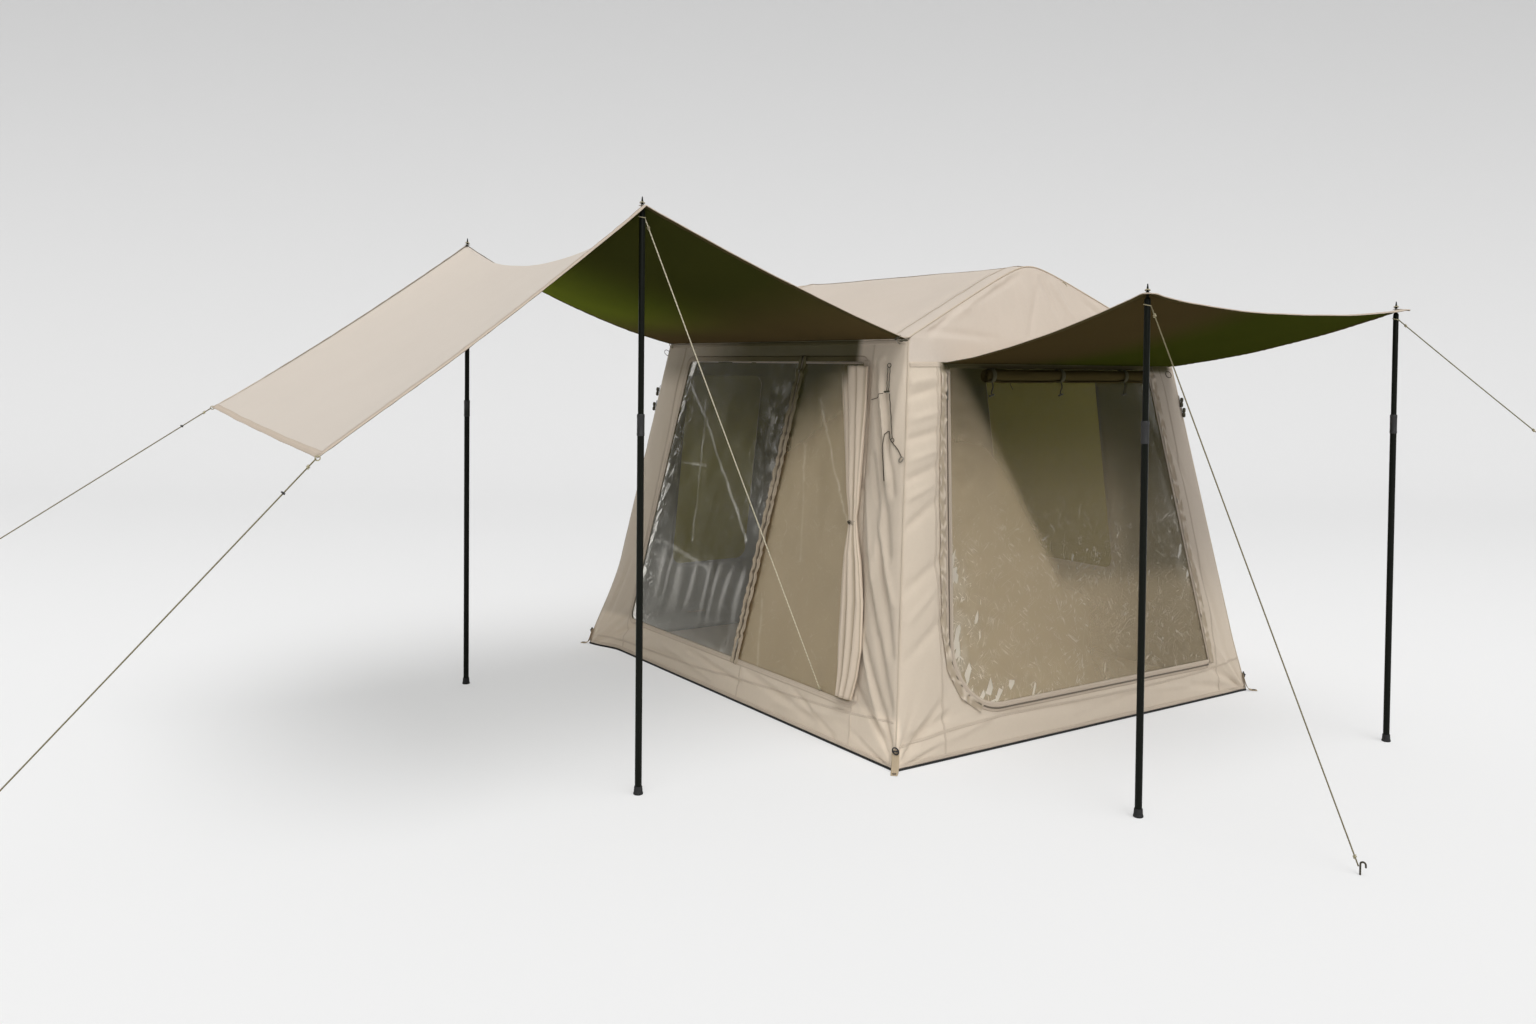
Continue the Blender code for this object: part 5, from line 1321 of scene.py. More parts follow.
def makeSouthAwning():
    sheet = clothGrid(
        "awningSouth", 110, 80, southSheetPoint, [awningTop, awningUnderSouth], slot="awning_cloth",
        uv=lambda s, t: (s * 1.67, t * 1.12), thickness=awningShape["thickness"], offset=0, inner=1)
    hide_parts("awning_south")


makeWestAwning()
makeSouthAwning()
print("awnings made")

# poles

poleSettings = {
    "outer": 0.0127, "bore": 0.0117, "inner": 0.0110, "innerBore": 0.0098, "innerLong": 1.167,
    "collarLow": 1.316, "collarLong": 0.080, "collar": 0.0143, "footTall": 0.030, "footRadius": 0.018,
}
poles = {
    "west_south": (-2.08, -0.98, 2.15), "west_north": (-2.08, 0.83, 2.15),
    "south_west": (-0.70, -2.12, 1.84), "south_east": (0.91, -2.12, 1.84),
}


def makePole(which, s):
    x, y, top = poles[which]
    stand = Matrix.Translation((x, y, 0))
    words = "".join(word.title() for word in which.split("_"))
    leg, collar = "leg_" + which, "collar_" + which
    foot = turned("poleFoot" + words, [
        (0, 0), (0.0165, 0), (s["footRadius"], 0.0015), (s["footRadius"], 0.006), (0.0172, 0.0075),
        (0.0165, 0.011), (0.0158, 0.012), (0.0158, 0.014), (0.0163, 0.015), (0.0156, 0.016), (0.0156, 0.018),
        (0.0161, 0.019), (0.0154, 0.020), (0.0152, 0.028), (0.0145, s["footTall"]), (0.0131, s["footTall"]),
        (0.0131, 0.006), (0, 0.006),
    ], rubberBlack, leg, stand, 40, "black_rubber", closed=False)
    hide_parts(f"pole_{which}_foot")
    tubeTop = s["collarLow"] + s["collarLong"] - 0.0064
    lower = turned("poleLower" + words, [
        (s["bore"], 0.0064), (s["outer"], 0.0064), (s["outer"], 0.40), (s["outer"], 0.90),
        (s["outer"], tubeTop), (s["bore"], tubeTop),
    ], poleBlack, leg, stand, 40, "black_tube")
    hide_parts(f"pole_{which}_lower")
    low, high = s["collarLow"], s["collarLow"] + s["collarLong"]
    sleeve = turned("poleCollar" + words, [
        (0.0131, low), (0.0136, low), (0.0141, low + 0.001), (s["collar"], low + 0.003),
        (s["collar"], low + 0.010), (0.0139, low + 0.011), (0.0139, high - 0.014),
        (s["collar"], high - 0.013), (s["collar"], high - 0.004), (0.0138, high - 0.001), (0.0131, high),
        (0.0117, high), (0.0117, high - 0.006), (0.0131, high - 0.006),
    ], plasticBlack, collar, stand, 48, "black_collar")
    for vert in sleeve.data.vertices:  # flutes of the grip
        radius = math.hypot(vert.co.x - x, vert.co.y - y)
        if radius > 0.0137 and low + 0.0105 < vert.co.z < high - 0.0135:
            turn = math.atan2(vert.co.y - y, vert.co.x - x)
            grow = 1 - 0.0005 * (0.5 + 0.5 * math.cos(turn * 24)) / radius
            vert.co.x, vert.co.y = x + (vert.co.x - x) * grow, y + (vert.co.y - y) * grow
    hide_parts(f"pole_{which}_collar")
    shoulder = top - 0.013
    upper = turned("poleUpper" + words, [
        (0, top + 0.035), (0.0012, top + 0.0345), (0.0020, top + 0.033), (0.0046, top + 0.010),
        (0.0050, top + 0.008), (0.0050, shoulder), (0.0070, shoulder), (0.0080, shoulder - 0.0012),
        (s["inner"], shoulder - 0.008), (s["inner"], 1.60), (s["inner"], shoulder - s["innerLong"]),
        (s["innerBore"], shoulder - s["innerLong"]), (s["innerBore"], shoulder - 0.020),
        (0, shoulder - 0.020),
    ], poleBlack, "tent", stand, 40, "black_tube", closed=False)
    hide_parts(f"pole_{which}_upper")


for which in poles:
    makePole(which, poleSettings)
print("poles made")

# tapes, seams and zips that lie on the walls

stripThick = 0.0009
tapeSettings = {
    "frame": {"width": 0.026, "lift": 0.0016, "material": sandSeam},
    "skirt": {"width": 0.011, "lift": 0.0010, "material": sandSeam},
    "seam": {"width": 0.010, "lift": 0.0009, "material": sandSeam},
    "foot": {"width": 0.018, "lift": 0.0018, "material": sandSeam},
    "cover": {"width": 0.020, "lift": 0.0062, "material": sandSeam},
    "ruche": {"width": 0.036, "lift": 0.0030, "material": rucheCloth, "ruffle": 0.0105, "pitch": 0.060,
        "step": 0.0040},
    "zip": {"width": 0.030, "lift": 0.0019, "material": brownTape, "thickness": 0.0012},
    "zipSouth": {"width": 0.030, "lift": 0.0019, "material": sandTape, "thickness": 0.0012},
    "chain": {"width": 0.006, "lift": 0.0040, "material": zipTeeth, "thickness": 0.0018, "step": 0.02},
    "zipRuche": {"width": 0.022, "lift": 0.0030, "material": brownTape, "ruffle": 0.0100, "pitch": 0.070,
        "step": 0.0040},
}


def wallStrip(name, side, path, s, closed=False, slot="sand_cloth"):
    # a tape laid along a path of (u, z) on the wall
    walk, total = pathWalker([Vector((u, z * slope)) for u, z in path], closed)
    width, ruffle = s["width"], s.get("ruffle", 0.0)
    nudge = 0.002 / total

    def gather(across, t):
        turn = t * total / s["pitch"] * math.tau
        turn += 5.0 * noise.noise(Vector((t * total * 14, across * 1.3, 0)))
        full = 0.6 + 0.8 * noise.noise(Vector((t * total * 23, 4.0, across)))
        return (0.5 + 0.5 * math.sin(turn)) * full * (0.35 + 0.65 * abs(across * 2 - 1))

    def place(across, t):
        if closed:
            way = walk((t + nudge) % 1) - walk((t - nudge) % 1)
        else:
            way = walk(min(t + nudge, 1)) - walk(max(t - nudge, 0))
        way.normalize()
        spot = walk(t % 1 if closed else t) + Vector((way.y, -way.x)) * (across - 0.5) * width
        out = s["lift"]
        if ruffle:
            out += ruffle * gather(across, t)
        return wallPoint(side, spot.x, spot.y / slope, out)

    along = max(2, int(total / s.get("step", 0.014)))
    return clothGrid(
        name, 8 if ruffle else 4, along, place, [s["material"]], slot=slot,
        uv=lambda a, t: ((a - 0.5) * width, t * total), ring=closed, thickness=s.get("thickness", stripThick),
        masks={"gather": lambda a, t: 1 - smooth(0.0, 0.55, gather(a, t))} if ruffle else None)


def grownOutline(side, away):
    # the opening's outline, moved out by a distance
    corners = openings[side]["corners"]
    radii = openings[side]["radii"]
    lines = []
    for i, (u0, z0) in enumerate(corners):
        du, dz = corners[(i + 1) % 4][0] - u0, corners[(i + 1) % 4][1] - z0
        size = math.hypot(du, dz)
        lines.append(((u0 + dz / size * away, z0 - du / size * away), (du, dz)))
    grown = []
    for i in range(4):
        (p, d), (q, e) = lines[i - 1], lines[i]
        cross = d[0] * e[1] - d[1] * e[0]
        share = ((q[0] - p[0]) * e[1] - (q[1] - p[1]) * e[0]) / cross
        grown.append((p[0] + d[0] * share, p[1] + d[1] * share))
    return outlinePath(grown, tuple(max(0.004, r + away) for r in radii))


westZip = [(doorSplit(0.165), 0.165), (doorSplit(1.625), 1.625)]
southZipCorners = [(-0.652, 1.555), (-0.8175, 0.156), (0.86, 0.156)]


def southZipPath():
    a, b, c = (Vector(p) for p in southZipCorners)
    ring = outlinePath([a, b, c, (0.7, 1.555)], (0, 0.264, 0, 0), 14)
    return ring[:-1]


def makeTapes(s):
    for name, side, away, look in (
        ("tapeWest", "west", 0.012, s["frame"]), ("tapeSouth", "south", 0.010, {**s["frame"], "width": 0.02}),
        ("coverEdgeEast", "east", 0.018, s["cover"]), ("coverEdgeNorth", "north", 0.018, s["cover"]),
    ):
        wallStrip(name, side, grownOutline(side, away), look, True)
    for name, side, look, path in (
        ("coverSeamEast", "east", "cover", [(-0.12, 0.49), (-0.12, 1.57)]),
        ("skirtWest", "west", "skirt", [
            (-1.25, 0.055), (-0.60, 0.068), (-0.209, 0.082), (0.106, 0.105), (0.60, 0.128), (0.98, 0.150),
            (1.255, 0.178)]),
        ("skirtSouth", "south", "skirt", [
            (-1.09, 0.085), (-0.848, 0.112), (-0.538, 0.125), (0.1, 0.118), (0.5, 0.12), (0.871, 0.135),
            (1.085, 0.160)]),
        ("skirtEast", "east", "skirt", [(-1.27, 0.12), (1.27, 0.12)]),
        ("skirtNorth", "north", "skirt", [(-1.09, 0.12), (1.09, 0.12)]),
        ("seamWestLow", "west", "seam", [(0.14, 0.012), (0.14, 0.172)]),
        ("seamWestCorner", "west", "seam", [(1.000, 0.012), (0.985, 0.165), (0.80, 1.69)]),
        ("seamWestFar", "west", "seam", [(-1.03, 0.012), (-1.01, 0.165), (-0.815, 1.69)]),
        ("seamSouthDouble", "south", "seam",
            [(-0.706, 1.587), (-0.826, 0.787), (-0.850, 0.232), (-0.862, 0.012)]),
        ("seamSouthRight", "south", "seam", [(0.742, 1.587), (0.90, 0.40), (0.93, 0.012)]),
    ):
        wallStrip(name, side, path, s[look])
    for side in ("west", "south", "east", "north"):
        half = halfWall(side, 0.016) - 0.01
        wallStrip("foot" + side.title(), side, [(-half, 0.016), (half, 0.016)], s["foot"])
        welt = [wallPoint(side, lerp(-half - 0.006, half + 0.006, i / 50), 0.004, 0.002) for i in range(51)]
        cordCurve("groundWelt" + side.title(), welt, 0.0048, groundBlack, "groundsheet_black")
    for name, side, half, z in (
        ("headerSouth", "south", 0.855, 1.586), ("headerNorth", "north", 0.855, 1.586),
        ("eaveWest", "west", 1.01, 1.682), ("eaveEast", "east", 1.01, 1.682),
    ):
        wallStrip(name, side, [(-half, z), (half, z)], s["foot"])
    ruche = [(-0.668, 1.588), (-0.727, 1.232), (-0.785, 0.785), (-0.812, 0.50), (-0.795, 0.35),
        (-0.735, 0.235), (-0.64, 0.17)]
    wallStrip("rucheSouth", "south", ruche, s["ruche"])
    right = [(0.884, 0.16), (0.79, 0.85), (0.677, 1.588)]
    wallStrip(
        "rucheSouthRight", "south", right, {**s["ruche"], "width": 0.030, "ruffle": 0.0075, "pitch": 0.080})
    tapeWest = wallStrip("zipTapeWest", "west", westZip, s["zip"], slot="brown_tape")
    tapeSouth = wallStrip("zipTapeSouth", "south", southZipPath(), s["zipSouth"], slot="brown_tape")
    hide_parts("zip_track_west")
    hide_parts("zip_track_south")
    wallStrip("zipChainWest", "west", westZip, s["chain"], slot="brown_tape")
    wallStrip("zipChainSouth", "south", southZipPath(), s["chain"], slot="brown_tape")
    for sign in (-1, 1):
        beside = [(u + sign * 0.018, z) for u, z in westZip]
        wallStrip(
            "zipRucheWest" + ("Near" if sign > 0 else "Far"), "west", beside, s["zipRuche"],
            slot="brown_tape")


makeTapes(tapeSettings)
print("tapes made")

# piping on the corners and round the roof


def makePiping():
    for name, side, sign in (("NearWest", "south", -1), ("NearEast", "south", 1), ("FarWest", "north", 1),
            ("FarEast", "north", -1)):
        points = []
        for i in range(60):
            z = lerp(0.010, 1.690, i / 59)
            points.append(wallPoint(side, sign * (halfWall(side, z) - 0.0002), z, 0.0016))
        cordCurve("piping" + name, points, 0.0026, hemCloth, "sand_cloth")
    for name, t in (("South", 0.0), ("North", 1.0)):
        points = [roofPoint(i / 80, t) + Vector((0, 0, 0.001)) for i in range(81)]
        cordCurve("pipingRoof" + name, points, 0.0030, hemCloth, "sand_cloth")
    for name, s in (("West", 0.0), ("East", 1.0)):
        points = [roofPoint(s, i / 60) + Vector((0, 0, 0.0005)) for i in range(61)]
        cordCurve("pipingEave" + name, points, 0.0030, hemCloth, "sand_cloth")


makePiping()


def surfaceStrip(name, surface, path, width, lift, material, count=60):
    # a tape laid on a sheet given by surface(s, t), along a straight path of (s, t)
    (s0, t0), (s1, t1) = path
    small = 0.002

    def place(across, t):
        s, q = lerp(s0, s1, t), lerp(t0, t1, t)
        here = surface(s, q)
        bothS = surface(clamp(s + small), q) - surface(clamp(s - small), q)
        bothT = surface(s, clamp(q + small)) - surface(s, clamp(q - small))
        normal = bothS.cross(bothT).normalized()
        way = (surface(lerp(s0, s1, min(1, t + small)), lerp(t0, t1, min(1, t + small)))
               - surface(lerp(s0, s1, max(0, t - small)), lerp(t0, t1, max(0, t - small)))).normalized()
        return here + way.cross(normal) * (across - 0.5) * width + normal * lift

    total = sum((surface(lerp(s0, s1, (i + 1) / 20), lerp(t0, t1, (i + 1) / 20))
                 - surface(lerp(s0, s1, i / 20), lerp(t0, t1, i / 20))).length for i in range(20))
    return clothGrid(
        name, 4, count, place, [material], uv=lambda a, t: ((a - 0.5) * width, t * total),
        thickness=stripThick)


surfaceStrip("roofRidgeSeam", roofPoint, ((0.5, 0.0), (0.5, 1.0)), 0.030, 0.0022, sandSeam)
surfaceStrip("roofSouthSeam", roofPoint, ((0.0, 0.055), (1.0, 0.055)), 0.014, 0.0016, sandSeam, count=120)
surfaceStrip("roofNorthSeam", roofPoint, ((0.0, 0.945), (1.0, 0.945)), 0.014, 0.0016, sandSeam, count=120)

# folded hems of the awnings

hemSettings = {"wide": 0.026, "lift": 0.0021, "edge": 0.0014, "steps": 90}


def makeHem(name, surface, edge, length, s):
    # edge names the side of the sheet; length is the sheet's size away from it
    profile = [
        (s["wide"], 1.0), (s["wide"] / 2, 1.0), (0.0, 1.0), (-s["edge"], 0.45), (-s["edge"], -0.45),
        (0.0, -1.0), (s["wide"] / 2, -1.0), (s["wide"], -1.0),
    ]
    small = 0.003

    def place(across, t):
        away, side = profile[round(across * 7)]
        inside = max(away, 0) / length
        at = {"s0": (inside, t), "s1": (1 - inside, t), "t0": (t, inside), "t1": (t, 1 - inside)}[edge]
        here = surface(*at)
        sWay = surface(clamp(at[0] + small), at[1]) - surface(clamp(at[0] - small), at[1])
        tWay = surface(at[0], clamp(at[1] + small)) - surface(at[0], clamp(at[1] - small))
        normal = sWay.cross(tWay).normalized()
        outward = {"s0": -sWay, "s1": sWay, "t0": -tWay, "t1": tWay}[edge].normalized()
        pucker = 0.0004 * math.sin(t * 900) + 0.0004 * math.sin(t * 391)
        return here + normal * side * (s["lift"] + pucker) + outward * max(-away, 0)

    hem = clothGrid(
        name, 7, s["steps"], place, [awningSeam, awningHemUnder], slot="awning_cloth",
        uv=lambda a, t: (profile[round(a * 7)][0] - 0.018, t * 2.0), thickness=0.0006, offset=1.0)
    for face in hem.data.polygons:
        face.material_index = 1 if face.index % 7 > 3 else 0  # seven faces across, the last three underneath
    return hem


for name, surface, edge, length in (
    ("hemWestNear", westSheetPoint, "t0", 1.87), ("hemWestFar", westSheetPoint, "t1", 1.87),
    ("hemWestFlap", westSheetPoint, "s0", 2.75), ("hemSouthNear", southSheetPoint, "s0", 1.67),
    ("hemSouthFar", southSheetPoint, "s1", 1.67), ("hemSouthPole", southSheetPoint, "t0", 1.14),
):
    makeHem(name, surface, edge, length, hemSettings)
print("hems made")

# small parts: rings, loops, toggles


def ringAt(name, centre, normal, radius, wire, material, slot=None, squash=1.0):
    normal = Vector(normal).normalized()
    slot = slot or ("sand_cord" if material in (sandCord, darkCord) else "dark_steel")
    side = normal.orthogonal().normalized()
    over = normal.cross(side)
    points = []
    for i in range(29):
        angle = math.tau * i / 28
        point = Vector(centre) + side * math.cos(angle) * radius
        points.append(point + over * math.sin(angle) * radius * squash)
    return cordCurve(name, points, wire, material, slot)


def toggleAt(name, centre, along, length, radius, material=None):
    half = length / 2
    profile = [
        (0, -half), (radius * 0.7, -half), (radius, -half * 0.8), (radius, -half * 0.25),
        (radius * 0.72, -half * 0.1), (radius * 0.72, half * 0.1), (radius, half * 0.25),
        (radius, half * 0.8), (radius * 0.7, half), (0, half),
    ]
    turn = Vector(along).to_track_quat("Z", "Y").to_matrix().to_4x4()
    stand = Matrix.Translation(centre) @ turn
    return turned(name, profile, material or oliveToggle, "tent", stand, 20, "dark_plastic", closed=False)


def cordOnWall(name, side, path, lift, radius=0.0015, material=None, count=24):
    walk, _ = pathWalker([Vector((u, z)) for u, z in path], closed=False)
    points = []
    for i in range(count + 1):
        u, z = walk(i / count)
        points.append(wallPoint(side, u, z, lift + 0.001 * math.sin(i * 0.9)))
    return cordCurve(name, points, radius, material or darkCord)


strapSettings = {
    # how far out and how high the strap's middle runs, in metres
    "line": ((-0.0175, 0.082), (-0.0120, 0.060), (-0.0040, 0.035), (0.0045, 0.016), (0.014, 0.0050),
        (0.026, 0.0028), (0.050, 0.0026)),
    "wide": 0.030, "thick": 0.0025, "hole": 0.036,
}


def makeFootStrap(name, foot, way, s):
    over = Vector((-way.y, way.x, 0))
    walk, total = pathWalker([Vector(p) for p in s["line"]], closed=False)

    def place(across, t):
        out, high = walk(t)
        narrow = 1 - 0.12 * smooth(0.75, 1.0, t)
        return foot + way * out + Vector((0, 0, high)) + over * (across - 0.5) * s["wide"] * narrow

    strap = clothGrid(
        "footStrap" + name, 6, 36, place, [strapWeb], uv=lambda a, t: ((a - 0.5) * s["wide"], t * total),
        thickness=s["thick"], offset=0)
    sides = {
        "SouthWest": "south_west", "SouthEast": "south_east",
        "NorthWest": "north_west", "NorthEast": "north_east",
    }
    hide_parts("corner_tab_" + sides[name])
    ringAt(
        "footEyelet" + name, foot + way * s["hole"] + Vector((0, 0, 0.0046)), (0, 0, 1), 0.0068, 0.0012,
        plasticBlack)
    head = foot + way * -0.012 + Vector((0, 0, 0.078))
    ringAt(
        "footBuckle" + name, head, (way.x, way.y, 0.25), 0.0105, 0.0026, plasticBlack, slot="dark_plastic",
        squash=1.35)
    toggleAt("footBar" + name, head + way * 0.004, over, 0.024, 0.0030, plasticBlack)


def makeSmallParts():
    tops = {"WestNear": poles["west_south"], "WestFar": poles["west_north"],
            "SouthWest": poles["south_west"], "SouthEast": poles["south_east"]}
    for name, (x, y, top) in tops.items():
        turned("grommet" + name, [
            (0.0056, top + 0.0012), (0.0058, top + 0.0034), (0.0085, top + 0.0040), (0.0125, top + 0.0030),
            (0.0130, top + 0.0014),
        ], darkSteel, "tent", Matrix.Translation((x, y, 0)), 32, "dark_steel")
        ringAt("poleLoop" + name, (x, y, top + 0.012), (0.25, 0.2, 1), 0.0085, 0.0018, sandCord)
        ringAt("poleLoopLow" + name, (x, y, top - 0.040), (0.1, -0.2, 1), 0.0128, 0.0019, sandCord)
    for which in ("far", "near"):
        start = Vector(guySettings[which]["start"])
        ringAt(
            "flapLoop" + which.title(), start + Vector((0.004, 0, 0.001)), (0.2, 1, 0.1), 0.0075, 0.0018,
            sandCord)
    for name, x, y in (("SouthWest", -1, -1), ("SouthEast", 1, -1), ("NorthWest", -1, 1),
            ("NorthEast", 1, 1)):
        way = Vector((x, y, 0)).normalized()
        foot = Vector((x * tent["baseX"] / 2, y * tent["baseY"] / 2, 0))
        if name == "NorthWest":
            foot.x -= pegPull("west", -halfWall("west", 0), 0)
        makeFootStrap(name, foot, way, strapSettings)
    for name, place, along in (
        ("One", (-0.878, -0.905, 1.722), (0.15, 1, 0.35)), ("Two", (-0.874, -0.985, 1.700), (0.1, -1, 0.55)),
        ("Three", (-0.872, -1.022, 1.688), (1, -0.4, 0.1)),
    ):
        toggleAt("eaveHook" + name, place, along, 0.034, 0.0046, oliveToggle)
    ringAt(
        "sillRing", Vector(guySettings["west"]["end"]) + Vector((0.002, 0, -0.004)), (1, 0.3, 0.4), 0.006,
        0.0016, darkSteel)
    edge = {key: lambda z, key=key: halfWall(key, z) - 0.014 for key in ("west", "south")}
    sides = [
        ("WestFarLow", "west", -edge["west"](1.345), 1.345),
        ("WestFarMid", "west", -edge["west"](1.428), 1.428),
        ("SouthRightMid", "south", edge["south"](1.415), 1.415),
        ("SouthRightLow", "south", edge["south"](1.365), 1.365),
    ]
    for name, side, u, z in sides:
        toggleAt("toggle" + name, wallPoint(side, u, z, 0.013), (0.15, 0.1, 1), 0.046, 0.0080)
        cordOnWall(
            "toggleCord" + name, side, [(u, z + 0.035), (u + 0.004, z), (u, z - 0.02)], 0.005, 0.0016,
            oliveToggle, 10)
    for name, side, u, z in (
        ("WestFar", "west", -edge["west"](1.645), 1.645), ("SouthRight", "south", 0.800, 1.552),
    ):
        place = wallPoint(side, u, z, 0.010)
        ringAt("loop" + name, place, (0.5, 1, 0.1), 0.012, 0.0016, darkCord, squash=1.5)

    def fromWall(x, y, z):
        return wallFrames["west"].to_3x3() @ Vector((x, y, z))

    cordOnWall("cornerCordOne", "west", [(0.926, 1.578), (0.934, 1.53), (0.944, 1.472)], 0.004)
    cordOnWall("cornerCordTwo", "west", [(0.940, 1.578), (0.950, 1.53), (0.963, 1.472)], 0.004)
    ringAt(
        "cornerTopRing", wallPoint("west", 0.933, 1.582, 0.005), fromWall(0.3, 0, 1), 0.009, 0.0015, darkCord)
    toggleAt("cornerBar", wallPoint("west", 0.954, 1.470, 0.008), fromWall(1, 0.1, 0), 0.034, 0.0042)
    cordOnWall(
        "cornerCordLong", "west", [(0.972, 1.462), (0.99, 1.40), (1.015, 1.34), (1.036, 1.278)], 0.004,
        0.0017)
    ringAt(
        "cornerLowRing", wallPoint("west", 1.038, 1.270, 0.006), fromWall(0.3, 0, 1), 0.008, 0.0015, darkCord)
    cordOnWall("cornerCordHook", "west", [
        (1.005, 1.10), (0.990, 1.22), (0.978, 1.295), (0.988, 1.312), (1.022, 1.275), (1.066, 1.235),
        (1.085, 1.208),
    ], 0.005, 0.0019)
    ringAt(
        "cornerHook", wallPoint("west", 1.087, 1.196, 0.007), fromWall(0.2, 0, 1), 0.0085, 0.0022, darkSteel,
        squash=1.5)
    cordOnWall("cornerStitch", "west", [(0.845, 1.434), (0.925, 1.463)], 0.003, 0.0014, darkCord, 6)
    cordOnWall(
        "gableLoop", "south", [(-0.30, 1.56), (-0.29, 1.50), (-0.28, 1.48)], 0.012, 0.0015, darkCord, 8)
    for name, y in (("Near", -0.975), ("Far", 0.975)):
        corner = Vector((-eaveX - 0.012, y, tent["eave"] - 0.012))
        ringAt("eaveHook" + name, corner, (0.2, 1, 0), 0.010, 0.0020, darkSteel, squash=1.3)
        ringAt(
            "eaveLoop" + name, corner + Vector((0.008, -0.006, -0.012)), (1, 0.3, 0), 0.009, 0.0018, sandCord)
    ringAt(
        "roofLoopNear", roofPoint(0.62, 0.0) + Vector((0, -0.004, -0.020)), (0.3, 1, 0), 0.011, 0.0016,
        sandCord, squash=1.6)
    ringAt(
        "roofLoopFar", roofPoint(0.38, 1.0) + Vector((0, 0.004, -0.020)), (0.3, 1, 0), 0.011, 0.0016,
        sandCord, squash=1.6)


makeSmallParts()
print("small parts made")

# gathered and rolled cloth

curtainSettings = {
    "head": 1.575, "foot": 0.205, "waist": 0.91, "back": 0.009, "tie": 0.016, "pleats": 9,
    "flatWide": 0.36, "bandWide": 0.0165,
}
curtainEdges = [  # height, far and near edge
    (0.205, 0.905, 1.000), (0.30, 0.897, 1.018), (0.41, 0.876, 1.022), (0.60, 0.850, 0.990),
    (0.76, 0.832, 0.940), (0.885, 0.824, 0.884), (0.935, 0.818, 0.868), (1.00, 0.800, 0.872),
    (1.215, 0.738, 0.850), (1.43, 0.671, 0.826), (1.575, 0.628, 0.802),
]


def curtainSpan(z):
    for (z0, far0, near0), (z1, far1, near1) in zip(curtainEdges, curtainEdges[1:]):
        if z <= z1:
            share = clamp((z - z0) / (z1 - z0))
            return lerp(far0, far1, share), lerp(near0, near1, share)
    return curtainEdges[-1][1:]


def curtainMiddle(z):
    return sum(curtainSpan(z)) / 2


def curtainHalf(z):
    far, near = curtainSpan(z)
    return (near - far) / 2


def makeCurtain(s):
    def hollow(around, t):
        z = lerp(s["foot"], s["head"], t)
        turn = around * math.tau
        wander = 0.7 * noise.noise(Vector((math.cos(turn) * 2, math.sin(turn) * 2, z * 1.4)))
        return 0.85 * smooth(0.1, -0.9, math.sin(s["pleats"] * (turn + wander * 0.4)))

    def place(around, t):
        z = lerp(s["foot"], s["head"], t)
        middle, half = curtainMiddle(z), curtainHalf(z)
        slack = clamp((abs(z - s["waist"]) - s["tie"]) / 0.20)
        depth = lerp(0.010, 0.015, clamp(slack * 2))
        turn = around * math.tau
        wander = 0.7 * noise.noise(Vector((math.cos(turn) * 2, math.sin(turn) * 2, z * 1.4)))
        pleat = math.sin(s["pleats"] * (turn + wander * 0.4))
        front = 0.55 + 0.45 * math.sin(turn)
        grow = 1 + pleat * lerp(0.12, 0.40, slack) * front
        u = middle + half * math.cos(turn + 0.10 * pleat * slack)
        out = s["back"] + depth + depth * grow * math.sin(turn)
        small = 0.0012 * crumple(u * 60, z * 6, 1.0)
        return wallFrames["west"] @ Vector((u, z * slope, max(out + small, 0.0065)))

    curtain = clothGrid(
        "curtain", 150, 120, place, [curtainCloth], uv=lambda a, t: (a * 0.42, t * 1.39), ring=True,
        thickness=0.0012, masks={"gather": hollow})
    curtain.modifiers["thickness"].use_even_offset = False
    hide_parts("door_curtain")

    def band(around, t):
        turn = around * math.tau
        depth = 0.0135
        u = curtainMiddle(s["waist"]) + 0.0245 * math.cos(turn)
        out = s["back"] + 0.010 + depth * math.sin(turn)
        z = s["waist"] * slope + (t - 0.5) * s["bandWide"] + 0.002 * math.sin(turn)
        return wallFrames["west"] @ Vector((u, z, out))

    tie = clothGrid(
        "curtainTie", 48, 5, band, [webbing], uv=lambda a, t: (a * 0.15, t * 0.016), ring=True,
        thickness=0.0015, offset=1.0)
    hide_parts("curtain_tie")
    knot = wallFrames["west"] @ Vector((curtainMiddle(s["waist"]) - 0.004, s["waist"] * slope, 0.034))
    ringAt("tieLoop", knot, (0.3, 1, 0.2), 0.006, 0.0016, darkCord, squash=1.6)
    toggleAt("tieToggle", knot + Vector((-0.004, 0, 0.001)), (0.1, 1, 0.2), 0.020, 0.0032)


def makeFacing():
    # the cloth the curtain is sewn to, along the near jamb
    def place(s, t):
        z = lerp(0.20, 1.605, t)
        jamb = halfWall("west", z) - 0.265
        far = min(curtainSpan(z)[1], jamb) - 0.020
        u = lerp(far, jamb + 0.014, s)
        wave = 0.003 * crumple(u * 22, z * 7, 4.0) * smooth(0, 0.3, s)
        wave += 0.0015 * math.sin(z * 46 + 3 * crumple(z * 3, 0, 1.0))
        return wallPoint("west", u, z, 0.0040 + max(wave, -0.0025) * min(1, 8 * (1 - s)))

    clothGrid(
        "curtainFacing", 14, 150, place, [sandCloth], uv=lambda s, t: (s * 0.07, t * 1.42), thickness=0.0010)


makeCurtain(curtainSettings)
makeFacing()

rollSettings = {
    "radius": 0.031, "height": 1.540, "left": -0.46, "right": 0.58, "turns": 2.7, "inner": 0.010,
    "loops": (-0.43, 0.00, 0.43),
}


